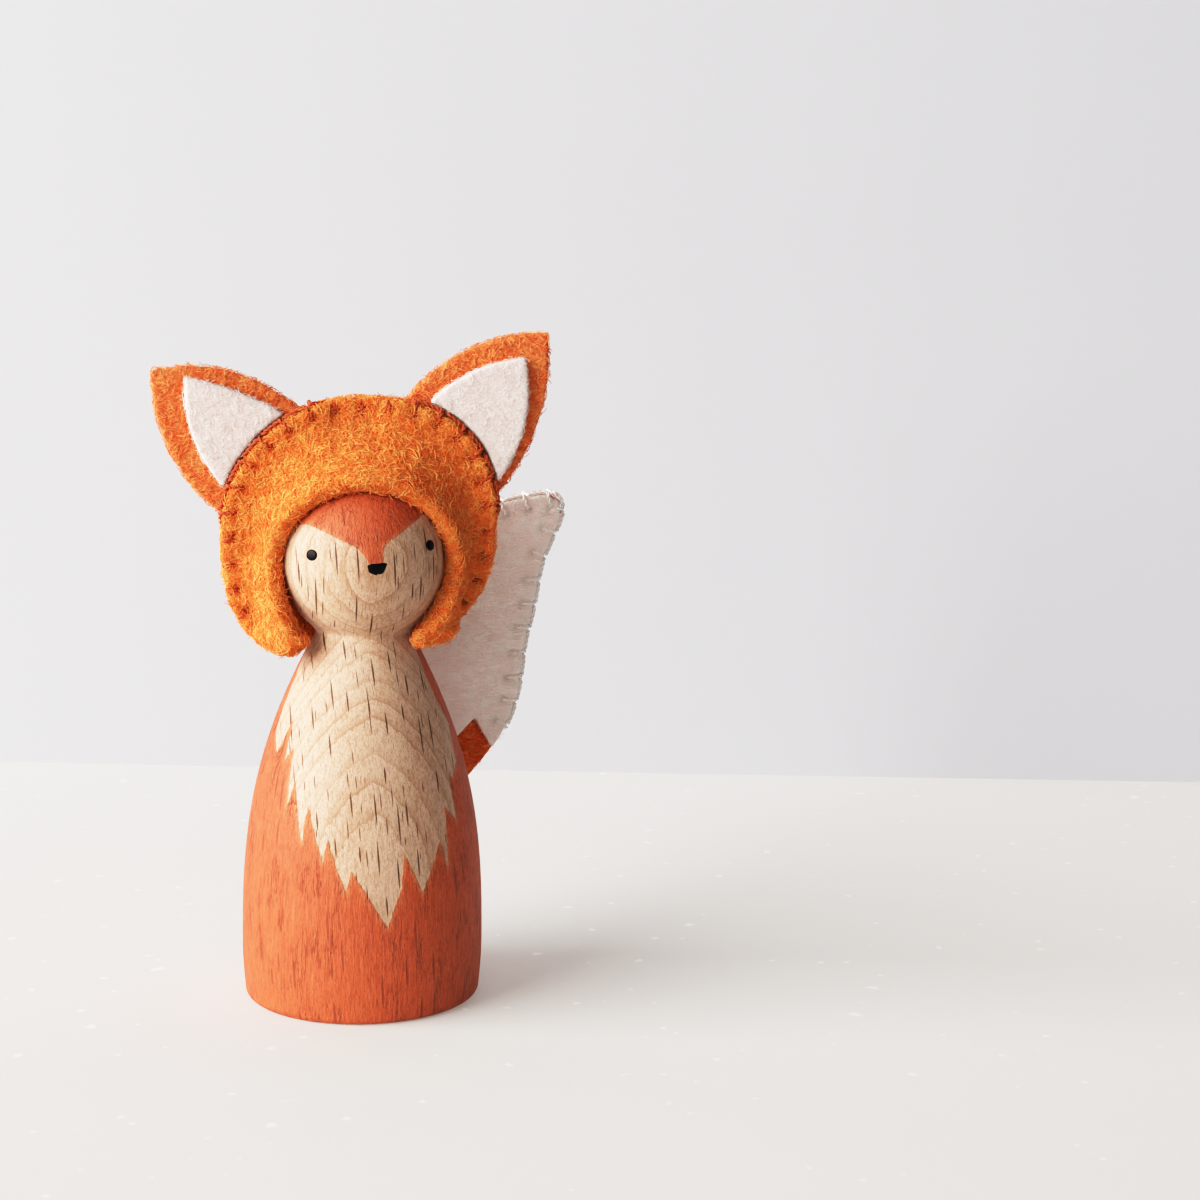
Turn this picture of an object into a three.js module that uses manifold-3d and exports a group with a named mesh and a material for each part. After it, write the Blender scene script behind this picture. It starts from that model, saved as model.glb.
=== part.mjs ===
// Fox peg doll: a turned beech figure in a sewn felt bonnet, with a sewn felt tail on its back.
// Millimetres, +Z up. The doll faces -Y and the origin is the middle of its base.
// Left and right are as seen from the front, so left is -X.

import * as THREE from 'three';
import * as BufferGeometryUtils from 'three/addons/utils/BufferGeometryUtils.js';
import Module from 'manifold-3d';

const wasm = await Module();
wasm.setup();

// Turned peg
const BASE_RADIUS = 15.0;
const FOOT_ROUND = 1.0;
const BELLY_SWELL = 0.35; // the belly's radius past the base's
const BELLY_HEIGHT = 7.0;
const NECK_HEIGHT = 47.4;
const NECK_RADIUS = 5.9;
const NECK_ROUND = 0.9;
const HEAD_RADIUS = 10.45;
const HEAD_HALF_HEIGHT = 11.07;
const BELL_SHOULDER = 2.6; // how late the bell body starts to narrow
const BELL_WAIST = 1.09; // how softly it runs into the neck
const NECK_LEAD = 1.2; // the bell's last ring stands this far below the neck
const PEG_FACETS = 40;

// Felt and thread
const HOOD_FELT = 2.0;
const EAR_FELT = 1.6;
const WHITE_FELT = 1.2;
const TAIL_FELT = 1.2;
const LAYER_GAP = 0.12; // between felts that lie on each other
const THREAD_RADIUS = 0.27;
const THREAD_GAP = 0.12; // between a thread and the felt under it
const HOLE_RADIUS = 0.47; // needle hole
const STITCH_SPACING = 3.4;
const STITCH_LEG = 1.3; // from the felt's edge in to the needle hole
const STITCH_BEVEL = 0.25; // the thread's corners
const STITCH_REACH = 0.9; // what a stitch takes of the edge on each side
const CUT_MARGIN = 1; // how far a cutting shape stands out of the felt

// Bonnet, measured from the head that it is worn on
const HEAD_CLEARANCE = 0.3;
const HOOD_YAW = -5; // degrees, worn a little askew
const HOOD_SIDE_REACH = 6.6; // seam edge past the head's side
const HOOD_TOP_REACH = 8.9; // seam edge above the head's top
const HOOD_CENTRE_LIFT = 3.3; // the panel's widest level above the head's
const HOOD_BOTTOM_REACH = 13.3; // lowest level of the panel's outline below the head's widest
const HOOD_SHIFT = -0.45;
const CROWN_FULLNESS = { left: 1.9, right: 2.45 };
const LOBE_FULLNESS = { left: 3.0, right: 2.2 };
const SEAM_DEPTH = 1.0; // the seam's plane behind the peg's axis
const SEAM_ALLOWANCE = 1.9; // flat strip of both panels outside the pocket
const SEAM_END = { left: 224, right: -44 }; // degrees round the outline, 90 at the top
const SEAM_TAIL = 3.0; // from the seam's ends to the first and last stitch
const SWEEP_PULL = 2.6; // how firmly the front felt keeps its direction at the fold and at the rim
const SHORT_PULL = 0.33; // the same as a share of the way, where that is short
const SHORT_ALLOWANCE = 0.4; // the flat strip as a share of the way to the rim, where that is short
const LOBES = {
  left: { round: 42, drop: 11.7 }, // degrees round the head from its side, and level below its widest
  right: { round: 46, drop: 10.9 },
};
const LOBE_SWEEP = 5.0; // how gradually a lobe's lower edge turns onto the head's curve
const LOBE_TURN = 15; // degrees of the opening's rim that a lobe takes
const LOBE_LEVEL = 0.25; // how soon its lower edge comes down to its corner's level
const LOBE_FLATTEN = 0.7; // share of the pull that its corner gives up
const BACK_FULLNESS = 1.25; // how softly the back panel leaves its seam
const BACK_ALLOWANCE = 1.3; // the dome starts a little inside the flat strip
const HEM_SAG = 3.6; // the back panel's lower edge hangs below its seam's ends
const BACK_SLACK = 0.4; // air between the back of the head and the felt
const RIM_HALF_WIDTH = 11.1; // middle of the felt at the face opening's widest
const RIM_CENTRE_DROP = 0.6; // level of that width below the head's widest
const RIM_RISE = 10.1;
const RIM_DROP = 12.0;
const RIM_END = 141; // degrees from the top of the opening to a lobe's tip
const RIM_FORWARD = 0.7; // the rim stays at least this far in front of the peg's axis

// Ears: pointed leaves whose feet are held in the seam
const EAR_MARGIN = 4.2; // degrees past an ear where its felt still parts the seam
const EAR_FADE = EAR_MARGIN + 7; // degrees past an ear where the seam is closed again
const EAR_FOOT = 3.2; // how far the foot reaches into the seam
const EAR_CUT = 5; // foot of the leaf below its chord, before the pocket trims it
const RUNNER_LEAD = 2; // degrees beyond one stitch from an ear, where the thread comes to its front
const EARS = {
  left: { from: 116, to: 173.5, reach: 17.5, lean: 1.1, bulge: 2.4 },
  right: { from: 70.7, to: 13.4, reach: 19.1, lean: 2.6, bulge: 2.4 },
};
const LININGS = {
  left: { halfWidth: 6.1, shift: 0.6, reach: 13.9, lean: 2.9, upperBulge: 0.7, lowerBulge: 1.9 },
  right: { halfWidth: 6.6, shift: -0.6, reach: 14.8, lean: 2.3, upperBulge: 1.6, lowerBulge: 2.2 },
};
const LINING_FROM_SEAM = 0.95; // clear of the thread that runs along the seam
const LINING_FOOT = 0.5;
const LEAF_TAPER = 0.8; // width of a leaf's foot as a share of its chord

// Tail: a flat leaf glued by its root to the peg's back
const TAIL_ROOT = { x: 2.8, z: 12.0 };
const TAIL_LENGTH = 51.0;
const TAIL_SWEEP = 26.5; // how far its tip lies to the right of its root
const TAIL_GAP = 0.15; // between the tail and the belly it stands against
const TAIL_LEG = 1.9;
const BEND_PER_POINT = 0.4; // radians of edge that the thread crosses in one straight step
const TIP_INSET = 0.3; // white felt inside the orange one's edge
const GLUE_HALF_WIDTH = 2.4;
const GLUE_HALF_HEIGHT = 3.6;
const GLUE_PLACE = [0.17, 0.1]; // shares of the tail's sweep and length

const degrees = Math.PI / 180;
const mix = THREE.MathUtils.lerp;

// Levels and radii that follow from the sizes above
const bellyRadius = BASE_RADIUS + BELLY_SWELL;
const headCentre = NECK_HEIGHT + HEAD_HALF_HEIGHT * Math.sqrt(1 - (NECK_RADIUS / HEAD_RADIUS) ** 2);
const headTop = headCentre + HEAD_HALF_HEIGHT;
const feltOnHead = HEAD_CLEARANCE + HOOD_FELT / 2;
const sleeveRadius = HEAD_RADIUS + feltOnHead;
const domeHeight = HEAD_HALF_HEIGHT + feltOnHead;
const hoodCentre = headCentre + HOOD_CENTRE_LIFT;
const hoodHalfWidth = HEAD_RADIUS + HOOD_SIDE_REACH;
const hoodRise = headTop + HOOD_TOP_REACH - hoodCentre;
const hoodDrop = HOOD_BOTTOM_REACH + HOOD_CENTRE_LIFT;
const threadLift = THREAD_GAP + THREAD_RADIUS;
const stitchHalf = THREAD_RADIUS + THREAD_GAP / 2;
const tailFace = bellyRadius + TAIL_GAP;

const woodMaterial = new THREE.MeshStandardMaterial({ color: 0xe9d2ad, roughness: 0.7, metalness: 0 });
const hoodMaterial = new THREE.MeshStandardMaterial({ color: 0xf08a30, roughness: 1, metalness: 0 });
const backMaterial = new THREE.MeshStandardMaterial({ color: 0xe87f2a, roughness: 1, metalness: 0 });
const earMaterial = new THREE.MeshStandardMaterial({ color: 0xe9752c, roughness: 1, metalness: 0 });
const whiteMaterial = new THREE.MeshStandardMaterial({ color: 0xf3efea, roughness: 1, metalness: 0 });
const rustThreadMaterial = new THREE.MeshStandardMaterial({ color: 0xb5421e, roughness: 0.8, metalness: 0 });
const whiteThreadMaterial = new THREE.MeshStandardMaterial({ color: 0xf6f2ee, roughness: 0.8, metalness: 0 });
const tailMaterial = new THREE.MeshStandardMaterial({ color: 0xdb6a28, roughness: 1, metalness: 0 });
const glueMaterial = new THREE.MeshStandardMaterial({ color: 0xe8e4d2, roughness: 0.3, metalness: 0 });

// A closed geometry as a solid that can be cut
function toSolid(geometry) {
  const bare = geometry.clone();
  bare.deleteAttribute('normal');
  bare.deleteAttribute('uv');
  const merged = BufferGeometryUtils.mergeVertices(bare, 1e-5);
  const index = Array.from(merged.index.array);
  const triangles = [];
  for (let i = 0; i < index.length; i += 3) {
    const [a, b, c] = index.slice(i, i + 3);
    if (a !== b && b !== c && c !== a) triangles.push(a, b, c);
  }
  const solid = new wasm.Manifold(new wasm.Mesh({
    numProp: 3,
    vertProperties: new Float32Array(merged.attributes.position.array),
    triVerts: new Uint32Array(triangles),
  }));
  return solid;
}

function toGeometry(solid) {
  const mesh = solid.getMesh();
  const geometry = new THREE.BufferGeometry();
  geometry.setAttribute('position', new THREE.BufferAttribute(new Float32Array(mesh.vertProperties), 3));
  geometry.setIndex(new THREE.BufferAttribute(new Uint32Array(mesh.triVerts), 1));
  geometry.computeVertexNormals();
  return geometry;
}

// A flat sheet cut to an upright outline, with its front face at y = front
function sheet(shape, front, thickness) {
  const geometry = new THREE.ExtrudeGeometry(shape, { depth: thickness, bevelEnabled: false });
  geometry.rotateX(Math.PI / 2);
  geometry.translate(0, front + thickness, 0);
  return geometry;
}

// What cuts a sheet at the same place from face to face
function cutter(shape, front, thickness) {
  return toSolid(sheet(shape, front - CUT_MARGIN, thickness + 2 * CUT_MARGIN));
}

function shapeThrough(points) {
  return new THREE.Shape(points.map((p) => new THREE.Vector2(p.x, p.y)));
}

// The peg: bell body, neck and round head from one profile
function smoothMax(a, b, round) {
  return Math.max(a, b) + Math.max(0, round - Math.abs(a - b)) ** 2 / (4 * round);
}

function pegRadius(z) {
  const climb = THREE.MathUtils.clamp((z - BELLY_HEIGHT) / (NECK_HEIGHT - BELLY_HEIGHT), 0, 1);
  const bell = NECK_RADIUS + (bellyRadius - NECK_RADIUS) * (1 - climb ** BELL_SHOULDER) ** BELL_WAIST;
  const level = (z - headCentre) / HEAD_HALF_HEIGHT;
  const head = HEAD_RADIUS * Math.sqrt(Math.max(0, 1 - level * level));
  return z < headCentre ? smoothMax(bell, head, NECK_ROUND) : head;
}

function pegProfile(extra = 0) {
  const profile = [new THREE.Vector2(0, -extra)];
  const footSteps = 3;
  for (let i = 0; i <= footSteps; i++) {
    const turn = (i / footSteps) * (Math.PI / 2);
    const r = BASE_RADIUS - FOOT_ROUND + FOOT_ROUND * Math.sin(turn);
    profile.push(new THREE.Vector2(r + extra, FOOT_ROUND * (1 - Math.cos(turn)) - extra));
  }
  const swollen = BASE_RADIUS + BELLY_SWELL * Math.sin(Math.PI / 4);
  profile.push(new THREE.Vector2(swollen + extra, (FOOT_ROUND + BELLY_HEIGHT) / 2));
  const bellSteps = 13;
  const wideFirst = 0.9;
  const neckTop = NECK_HEIGHT - NECK_LEAD;
  for (let i = 0; i <= bellSteps; i++) {
    const z = mix(BELLY_HEIGHT, neckTop, (i / bellSteps) ** wideFirst);
    profile.push(new THREE.Vector2(pegRadius(z) + extra, z));
  }
  const lowest = Math.asin((NECK_HEIGHT - headCentre) / HEAD_HALF_HEIGHT);
  const headSteps = 14;
  for (let i = 0; i < headSteps; i++) {
    const angle = mix(lowest, Math.PI / 2, i / headSteps);
    const z = headCentre + HEAD_HALF_HEIGHT * Math.sin(angle);
    profile.push(new THREE.Vector2(pegRadius(z) + extra, z));
  }
  profile.push(new THREE.Vector2(0, headTop + extra));
  return profile;
}

// The outline that both hood panels are cut to, seen from the front
function outlineRadius(angle) {
  const c = Math.cos(angle);
  const s = Math.sin(angle);
  const half = s > 0 ? CROWN_FULLNESS : LOBE_FULLNESS;
  const fullness = c > 0 ? half.right : half.left;
  const height = s > 0 ? hoodRise : hoodDrop;
  return (Math.abs(c / hoodHalfWidth) ** fullness + Math.abs(s / height) ** fullness) ** (-1 / fullness);
}

function outlinePoint(angle) {
  const r = outlineRadius(angle);
  return new THREE.Vector2(HOOD_SHIFT + r * Math.cos(angle), hoodCentre + r * Math.sin(angle));
}

function outlineNormal(angle) {
  const step = 0.01;
  const along = outlinePoint(angle + step).sub(outlinePoint(angle - step)).normalize();
  return new THREE.Vector2(along.y, -along.x);
}

function outlineOffset(angle, out) {
  return outlinePoint(angle).addScaledVector(outlineNormal(angle), out);
}

function outlineShape(out) {
  const steps = 72;
  const points = [];
  for (let i = 0; i < steps; i++) points.push(outlineOffset((i / steps) * 2 * Math.PI, out));
  return shapeThrough(points);
}

// Half the space between the two panels at the seam: wide where an ear's foot lies between them
function earCover(angle, fade) {
  const turn = angle / degrees;
  const leftSide = THREE.MathUtils.smoothstep(turn, EARS.left.from - fade, EARS.left.from - EAR_MARGIN)
    * (1 - THREE.MathUtils.smoothstep(turn, EARS.left.to + EAR_MARGIN, EARS.left.to + fade));
  const rightSide = THREE.MathUtils.smoothstep(turn, EARS.right.to - fade, EARS.right.to - EAR_MARGIN)
    * (1 - THREE.MathUtils.smoothstep(turn, EARS.right.from + EAR_MARGIN, EARS.right.from + fade));
  return Math.max(leftSide, rightSide);
}

function seamHalfGap(angle) {
  return LAYER_GAP + (EAR_FELT / 2) * earCover(angle, EAR_FADE);
}

// Keeps the middle of a felt off the head, and off the sleeve the head slides through below it
function clearOfHead(p) {
  const up = Math.max(0, p.z - headCentre) / domeHeight;
  const size = Math.hypot(Math.hypot(p.x, p.y) / sleeveRadius, up);
  if (size >= 1) return p;
  p.x /= size;
  p.y /= size;
  if (up > 0) p.z = headCentre + (up / size) * domeHeight;
  return p;
}

// The face opening's rim on the middle of the felt, with the direction in which the felt leaves it
function rimPoint(angle) {
  const drop = Math.abs(angle) > Math.PI / 2 ? RIM_DROP : RIM_RISE;
  const x = RIM_HALF_WIDTH * Math.sin(angle);
  const z = headCentre - RIM_CENTRE_DROP + drop * Math.cos(angle);
  const up = Math.max(0, z - headCentre) / domeHeight;
  const reach = sleeveRadius * Math.sqrt(Math.max(0, 1 - up * up));
  return new THREE.Vector3(x, -Math.sqrt(Math.max(RIM_FORWARD ** 2, reach * reach - x * x)), z);
}

function rimLeave(angle) {
  const step = 0.01;
  const p = rimPoint(angle);
  const along = rimPoint(angle + step).sub(rimPoint(angle - step)).normalize();
  const up = Math.max(0, p.z - headCentre);
  const out = new THREE.Vector3(p.x / sleeveRadius ** 2, p.y / sleeveRadius ** 2, up / domeHeight ** 2);
  const leave = new THREE.Vector3().crossVectors(along, out).normalize();
  if (leave.y < 0) leave.negate();
  return leave;
}

// Surface normals of a grid of points, by the neighbours along both directions
function gridNormals(grid, closed) {
  const rows = grid.length;
  return grid.map((row, i) => row.map((p, j) => {
    const before = grid[closed ? (i + rows - 1) % rows : Math.max(0, i - 1)][j];
    const after = grid[closed ? (i + 1) % rows : Math.min(rows - 1, i + 1)][j];
    const along = new THREE.Vector3().subVectors(after, before);
    const next = row[Math.min(row.length - 1, j + 1)];
    const across = new THREE.Vector3().subVectors(next, row[Math.max(0, j - 1)]);
    return along.cross(across).normalize();
  }));
}

// A felt of even thickness on a grid of points. An open grid has four cut edges.
// A closed grid runs round a middle point and has one.
function feltSolid(grid, thickness, middle = null) {
  const closed = middle !== null;
  const normals = gridNormals(grid, closed);
  const rows = grid.length;
  const columns = grid[0].length;
  const positions = [];
  const triangles = [];
  const layer = rows * columns;
  for (const side of [1, -1]) {
    for (let i = 0; i < rows; i++) {
      for (let j = 0; j < columns; j++) {
        const p = grid[i][j].clone().addScaledVector(normals[i][j], (side * thickness) / 2);
        positions.push(p.x, p.y, p.z);
      }
    }
  }
  const upper = (i, j) => (i % rows) * columns + j;
  const lower = (i, j) => layer + upper(i, j);
  const quad = (a, b, c, d) => triangles.push(a, b, c, a, c, d);
  const spans = closed ? rows : rows - 1;
  for (let i = 0; i < spans; i++) {
    for (let j = 0; j < columns - 1; j++) {
      quad(upper(i, j), upper(i + 1, j), upper(i + 1, j + 1), upper(i, j + 1));
      quad(lower(i, j), lower(i, j + 1), lower(i + 1, j + 1), lower(i + 1, j));
    }
    quad(upper(i, columns - 1), upper(i + 1, columns - 1), lower(i + 1, columns - 1), lower(i, columns - 1));
    if (!closed) quad(upper(i + 1, 0), upper(i, 0), lower(i, 0), lower(i + 1, 0));
  }
  if (closed) {
    const out = normals.reduce((sum, row) => sum.add(row[0]), new THREE.Vector3()).normalize();
    for (const side of [1, -1]) {
      const p = middle.clone().addScaledVector(out, (side * thickness) / 2);
      positions.push(p.x, p.y, p.z);
    }
    for (let i = 0; i < rows; i++) {
      triangles.push(2 * layer, upper(i + 1, 0), upper(i, 0));
      triangles.push(2 * layer + 1, lower(i, 0), lower(i + 1, 0));
    }
  } else {
    for (let j = 0; j < columns - 1; j++) {
      quad(upper(0, j), upper(0, j + 1), lower(0, j + 1), lower(0, j));
      quad(upper(rows - 1, j + 1), upper(rows - 1, j), lower(rows - 1, j), lower(rows - 1, j + 1));
    }
  }
  const geometry = new THREE.BufferGeometry();
  geometry.setAttribute('position', new THREE.Float32BufferAttribute(positions, 3));
  geometry.setIndex(triangles);
  return toSolid(geometry);
}

// A cheek lobe's lower edge: from the seam's end forward round the head to the lobe's corner
function lobeEdge(side) {
  const sign = side === 'left' ? -1 : 1;
  const angle = SEAM_END[side] * degrees;
  const round = LOBES[side].round * degrees;
  const from = outlinePoint(angle);
  const start = new THREE.Vector3(from.x, frontFeltMiddle(angle), from.y);
  const corner = new THREE.Vector3(
    sign * sleeveRadius * Math.cos(round),
    -sleeveRadius * Math.sin(round),
    headCentre - LOBES[side].drop,
  );
  const before = new THREE.Vector3(
    corner.x + sign * LOBE_SWEEP * Math.sin(round),
    corner.y + LOBE_SWEEP * Math.cos(round),
    mix(corner.z, start.z, LOBE_LEVEL),
  );
  return new THREE.QuadraticBezierCurve3(start, before, corner);
}

function frontFeltMiddle(angle) {
  return SEAM_DEPTH - seamHalfGap(angle) - HOOD_FELT / 2;
}

// Front panel: from its seam edge, across the flat allowance, then in one sweep to the face opening's rim
function frontPanelGrid() {
  const lobeSteps = 5;
  const seamSteps = 38;
  const sweepSteps = 5;
  const firstTurn = SEAM_END.right - LOBE_TURN;
  const lastTurn = SEAM_END.left + LOBE_TURN;
  const rowFrom = (start, flat, turn, ease) => {
    const rimAngle = mix(RIM_END, -RIM_END, (turn - firstTurn) / (lastTurn - firstTurn)) * degrees;
    const rim = rimPoint(rimAngle);
    const towardRim = new THREE.Vector3().subVectors(rim, start).normalize();
    const lead = new THREE.Vector3(-flat.x, 0, -flat.y).lerp(towardRim, ease).normalize();
    const flatStrip = Math.min(SEAM_ALLOWANCE, start.distanceTo(rim) * SHORT_ALLOWANCE);
    const bend = start.clone().addScaledVector(lead, flatStrip);
    const pull = Math.min(SWEEP_PULL, bend.distanceTo(rim) * SHORT_PULL) * (1 - LOBE_FLATTEN * ease);
    const sweep = new THREE.CubicBezierCurve3(
      bend,
      bend.clone().addScaledVector(lead, pull),
      rim.clone().addScaledVector(rimLeave(rimAngle), pull),
      rim,
    );
    const row = [start];
    for (let j = 0; j <= sweepSteps; j++) row.push(clearOfHead(sweep.getPoint(j / sweepSteps)));
    return row;
  };
  const lobeRow = (side, share) => {
    const end = SEAM_END[side];
    const turn = end + Math.sign(end - 90) * LOBE_TURN * share;
    const ease = THREE.MathUtils.smoothstep(share, 0, 1);
    return rowFrom(lobeEdge(side).getPoint(share), outlineNormal(end * degrees), turn, ease);
  };
  const rows = [];
  for (let i = lobeSteps; i > 0; i--) rows.push(lobeRow('right', i / lobeSteps));
  for (let i = 0; i <= seamSteps; i++) {
    const turn = mix(SEAM_END.right, SEAM_END.left, i / seamSteps);
    const edge = outlinePoint(turn * degrees);
    const start = new THREE.Vector3(edge.x, frontFeltMiddle(turn * degrees), edge.y);
    rows.push(rowFrom(start, outlineNormal(turn * degrees), turn, 0));
  }
  for (let i = 1; i <= lobeSteps; i++) rows.push(lobeRow('left', i / lobeSteps));
  return rows;
}

// Back panel: flat allowance, then one dome that follows the back of the head and hangs straight below it
function outlineHalfWidth(level, side) {
  const lowest = outlinePoint((side > 0 ? SEAM_END.right : SEAM_END.left) * degrees).y;
  const below = Math.max(0, hoodCentre - Math.max(level, lowest));
  const fullness = side > 0 ? LOBE_FULLNESS.right : LOBE_FULLNESS.left;
  return hoodHalfWidth * (1 - (below / hoodDrop) ** fullness) ** (1 / fullness);
}

function backDepth(x, z) {
  const offside = x - HOOD_SHIFT;
  const aside = Math.abs(offside) / outlineHalfWidth(z, offside);
  const above = Math.max(0, z - hoodCentre);
  const spread = above > 0
    ? Math.hypot(offside, above) / outlineRadius(Math.atan2(above, offside))
    : aside;
  const pocket = Math.min(1, spread / (1 - (BACK_ALLOWANCE * SEAM_ALLOWANCE) / hoodHalfWidth));
  const deepest = sleeveRadius + BACK_SLACK - SEAM_DEPTH - HOOD_FELT / 2 - LAYER_GAP;
  return deepest * (1 - pocket * pocket) ** BACK_FULLNESS;
}

function backPanelGrid() {
  const seamSteps = 38;
  const hemSteps = 12;
  const domeRings = [0.25, 0.5, 0.72, 0.88];
  const gapFrom = 0.5;
  const seamLeft = outlinePoint(SEAM_END.left * degrees);
  const seamRight = outlinePoint(SEAM_END.right * degrees);
  const border = [];
  for (let i = 0; i <= seamSteps; i++) {
    const angle = mix(SEAM_END.right, SEAM_END.left, i / seamSteps) * degrees;
    border.push({ edge: outlinePoint(angle), sewn: true, angle });
  }
  for (let i = 1; i < hemSteps; i++) {
    const edge = seamLeft.clone().lerp(seamRight, i / hemSteps);
    edge.y -= HEM_SAG * Math.sin((Math.PI * i) / hemSteps);
    border.push({ edge, sewn: false, angle: 0 });
  }
  const centre = new THREE.Vector2(HOOD_SHIFT, hoodCentre);
  const place = (flat, gap) => {
    const y = SEAM_DEPTH + gap + HOOD_FELT / 2 + backDepth(flat.x, flat.y);
    return clearOfHead(new THREE.Vector3(flat.x, y, flat.y));
  };
  const grid = border.map(({ edge, sewn, angle }) => {
    const away = edge.clone().sub(centre);
    const full = away.length();
    const gap = sewn ? seamHalfGap(angle) : LAYER_GAP;
    const fold = 1 - SEAM_ALLOWANCE / full;
    const shares = [...domeRings.map((share) => share * fold), fold, 1];
    return shares.map((share) => {
      const nearSeam = THREE.MathUtils.smoothstep(share, gapFrom, fold);
      return place(centre.clone().addScaledVector(away, share), mix(LAYER_GAP, gap, nearSeam));
    });
  });
  return { grid, middle: place(centre, LAYER_GAP) };
}

// Even places along the seam, as angles round the outline
function seamStops() {
  const samples = 400;
  const angles = [];
  const lengths = [0];
  for (let i = 0; i <= samples; i++) {
    angles.push(mix(SEAM_END.left, SEAM_END.right, i / samples) * degrees);
    if (i > 0) lengths.push(lengths[i - 1] + outlinePoint(angles[i]).distanceTo(outlinePoint(angles[i - 1])));
  }
  const total = lengths[samples];
  const count = Math.round((total - 2 * SEAM_TAIL) / STITCH_SPACING);
  const angleAt = (length) => {
    const next = lengths.findIndex((reached) => reached >= length);
    const i = Math.max(1, next);
    const share = (length - lengths[i - 1]) / (lengths[i] - lengths[i - 1]);
    return mix(angles[i - 1], angles[i], share);
  };
  const stops = [];
  for (let i = 0; i <= count; i++) stops.push(mix(SEAM_TAIL, total - SEAM_TAIL, i / count));
  return stops.map((length) => ({ at: angleAt(length), place: (shift) => angleAt(length + shift) }));
}

// A thread as a path of chosen points, with its section square to the bisector at each
class ThreadPath extends THREE.Curve {
  constructor(points) {
    super();
    this.points = points;
  }

  getPoint(t) {
    const last = this.points.length - 1;
    const i = Math.min(last - 1, Math.floor(t * last));
    return this.points[i].clone().lerp(this.points[i + 1], t * last - i);
  }

  getPointAt(u) {
    return this.getPoint(u);
  }

  getTangentAt(u) {
    const last = this.points.length - 1;
    const i = Math.round(u * last);
    const here = this.points[i];
    const tangent = new THREE.Vector3();
    if (i > 0) tangent.add(here.clone().sub(this.points[i - 1]).normalize());
    if (i < last) tangent.add(this.points[i + 1].clone().sub(here).normalize());
    return tangent.normalize();
  }
}

function threadGeometry(points) {
  const sides = 5;
  const section = [];
  for (let i = 0; i < sides; i++) {
    const turn = (i / sides) * 2 * Math.PI;
    section.push(new THREE.Vector2(THREAD_RADIUS * Math.cos(turn), THREAD_RADIUS * Math.sin(turn)));
  }
  return new THREE.ExtrudeGeometry(shapeThrough(section), {
    steps: points.length - 1,
    extrudePath: new ThreadPath(points),
    bevelEnabled: false,
  });
}

// One blanket stitch: from the edge over the front face to the needle hole, through every layer,
// back over the rear face and round the edge again, with a bevel at each corner.
// on(shift, out, depth) gives the point shift along the edge, out past it and at a depth.
function blanketStitch(on, { front, back, runner, leg }) {
  return [
    on(-stitchHalf, threadLift, runner),
    on(-stitchHalf, threadLift, front + STITCH_BEVEL),
    on(-stitchHalf, threadLift - STITCH_BEVEL, front),
    on(0, STITCH_BEVEL - leg, front),
    on(0, -leg, front + STITCH_BEVEL),
    on(0, -leg, back - STITCH_BEVEL),
    on(0, STITCH_BEVEL - leg, back),
    on(stitchHalf, threadLift - STITCH_BEVEL, back),
    on(stitchHalf, threadLift, back - STITCH_BEVEL),
    on(stitchHalf, threadLift, runner),
  ];
}

// A needle hole through felts whose outer faces are at front and back
function needleHole(place, front, back) {
  const length = back - front + 2 * CUT_MARGIN;
  const hole = new THREE.CylinderGeometry(HOLE_RADIUS, HOLE_RADIUS, length, 6);
  hole.translate(place.x, (front + back) / 2, place.y);
  return toSolid(hole);
}

function pierced(felt, holes) {
  return holes.reduce((cut, hole) => cut.subtract(hole), felt);
}

// An ear or its lining: two bowed sides that meet at a point, on a chord of the hood's outline
function leafShape(ear, { halfWidth, shift, reach, lean, upperBulge, lowerBulge, foot }) {
  const upper = outlinePoint(ear.from * degrees);
  const lower = outlinePoint(ear.to * degrees);
  const middle = upper.clone().add(lower).multiplyScalar(0.5);
  const along = upper.clone().sub(lower).normalize();
  const out = middle.clone().sub(new THREE.Vector2(HOOD_SHIFT, hoodCentre));
  out.addScaledVector(along, -out.dot(along)).normalize();
  const at = (c, h) => middle.clone().addScaledVector(along, c).addScaledVector(out, h);
  const tip = at(lean, reach);
  const side = (corner, bulge) => {
    const bow = corner.clone().add(tip).multiplyScalar(0.5);
    const square = tip.clone().sub(corner).normalize();
    const away = new THREE.Vector2(square.y, -square.x);
    if (away.dot(bow.clone().sub(at(lean / 2, reach / 2))) < 0) away.negate();
    return new THREE.QuadraticBezierCurve(corner, bow.addScaledVector(away, 2 * bulge), tip).getPoints(9);
  };
  const high = at(shift + halfWidth, 0);
  const low = at(shift - halfWidth, 0);
  const points = [...side(high, upperBulge), ...side(low, lowerBulge).reverse().slice(1)];
  points.push(at(shift - halfWidth * LEAF_TAPER, -foot), at(shift + halfWidth * LEAF_TAPER, -foot));
  if (THREE.ShapeUtils.isClockWise(points)) points.reverse();
  return shapeThrough(points);
}

function earSolid(ear, holes) {
  const halfWidth = outlinePoint(ear.from * degrees).distanceTo(outlinePoint(ear.to * degrees)) / 2;
  const { reach, lean, bulge } = ear;
  const leaf = leafShape(ear, {
    halfWidth, shift: 0, reach, lean, upperBulge: bulge, lowerBulge: bulge, foot: EAR_CUT,
  });
  const front = SEAM_DEPTH - EAR_FELT / 2;
  const felt = toSolid(sheet(leaf, front, EAR_FELT));
  return pierced(felt.subtract(cutter(outlineShape(-EAR_FOOT), front, EAR_FELT)), holes);
}

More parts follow.
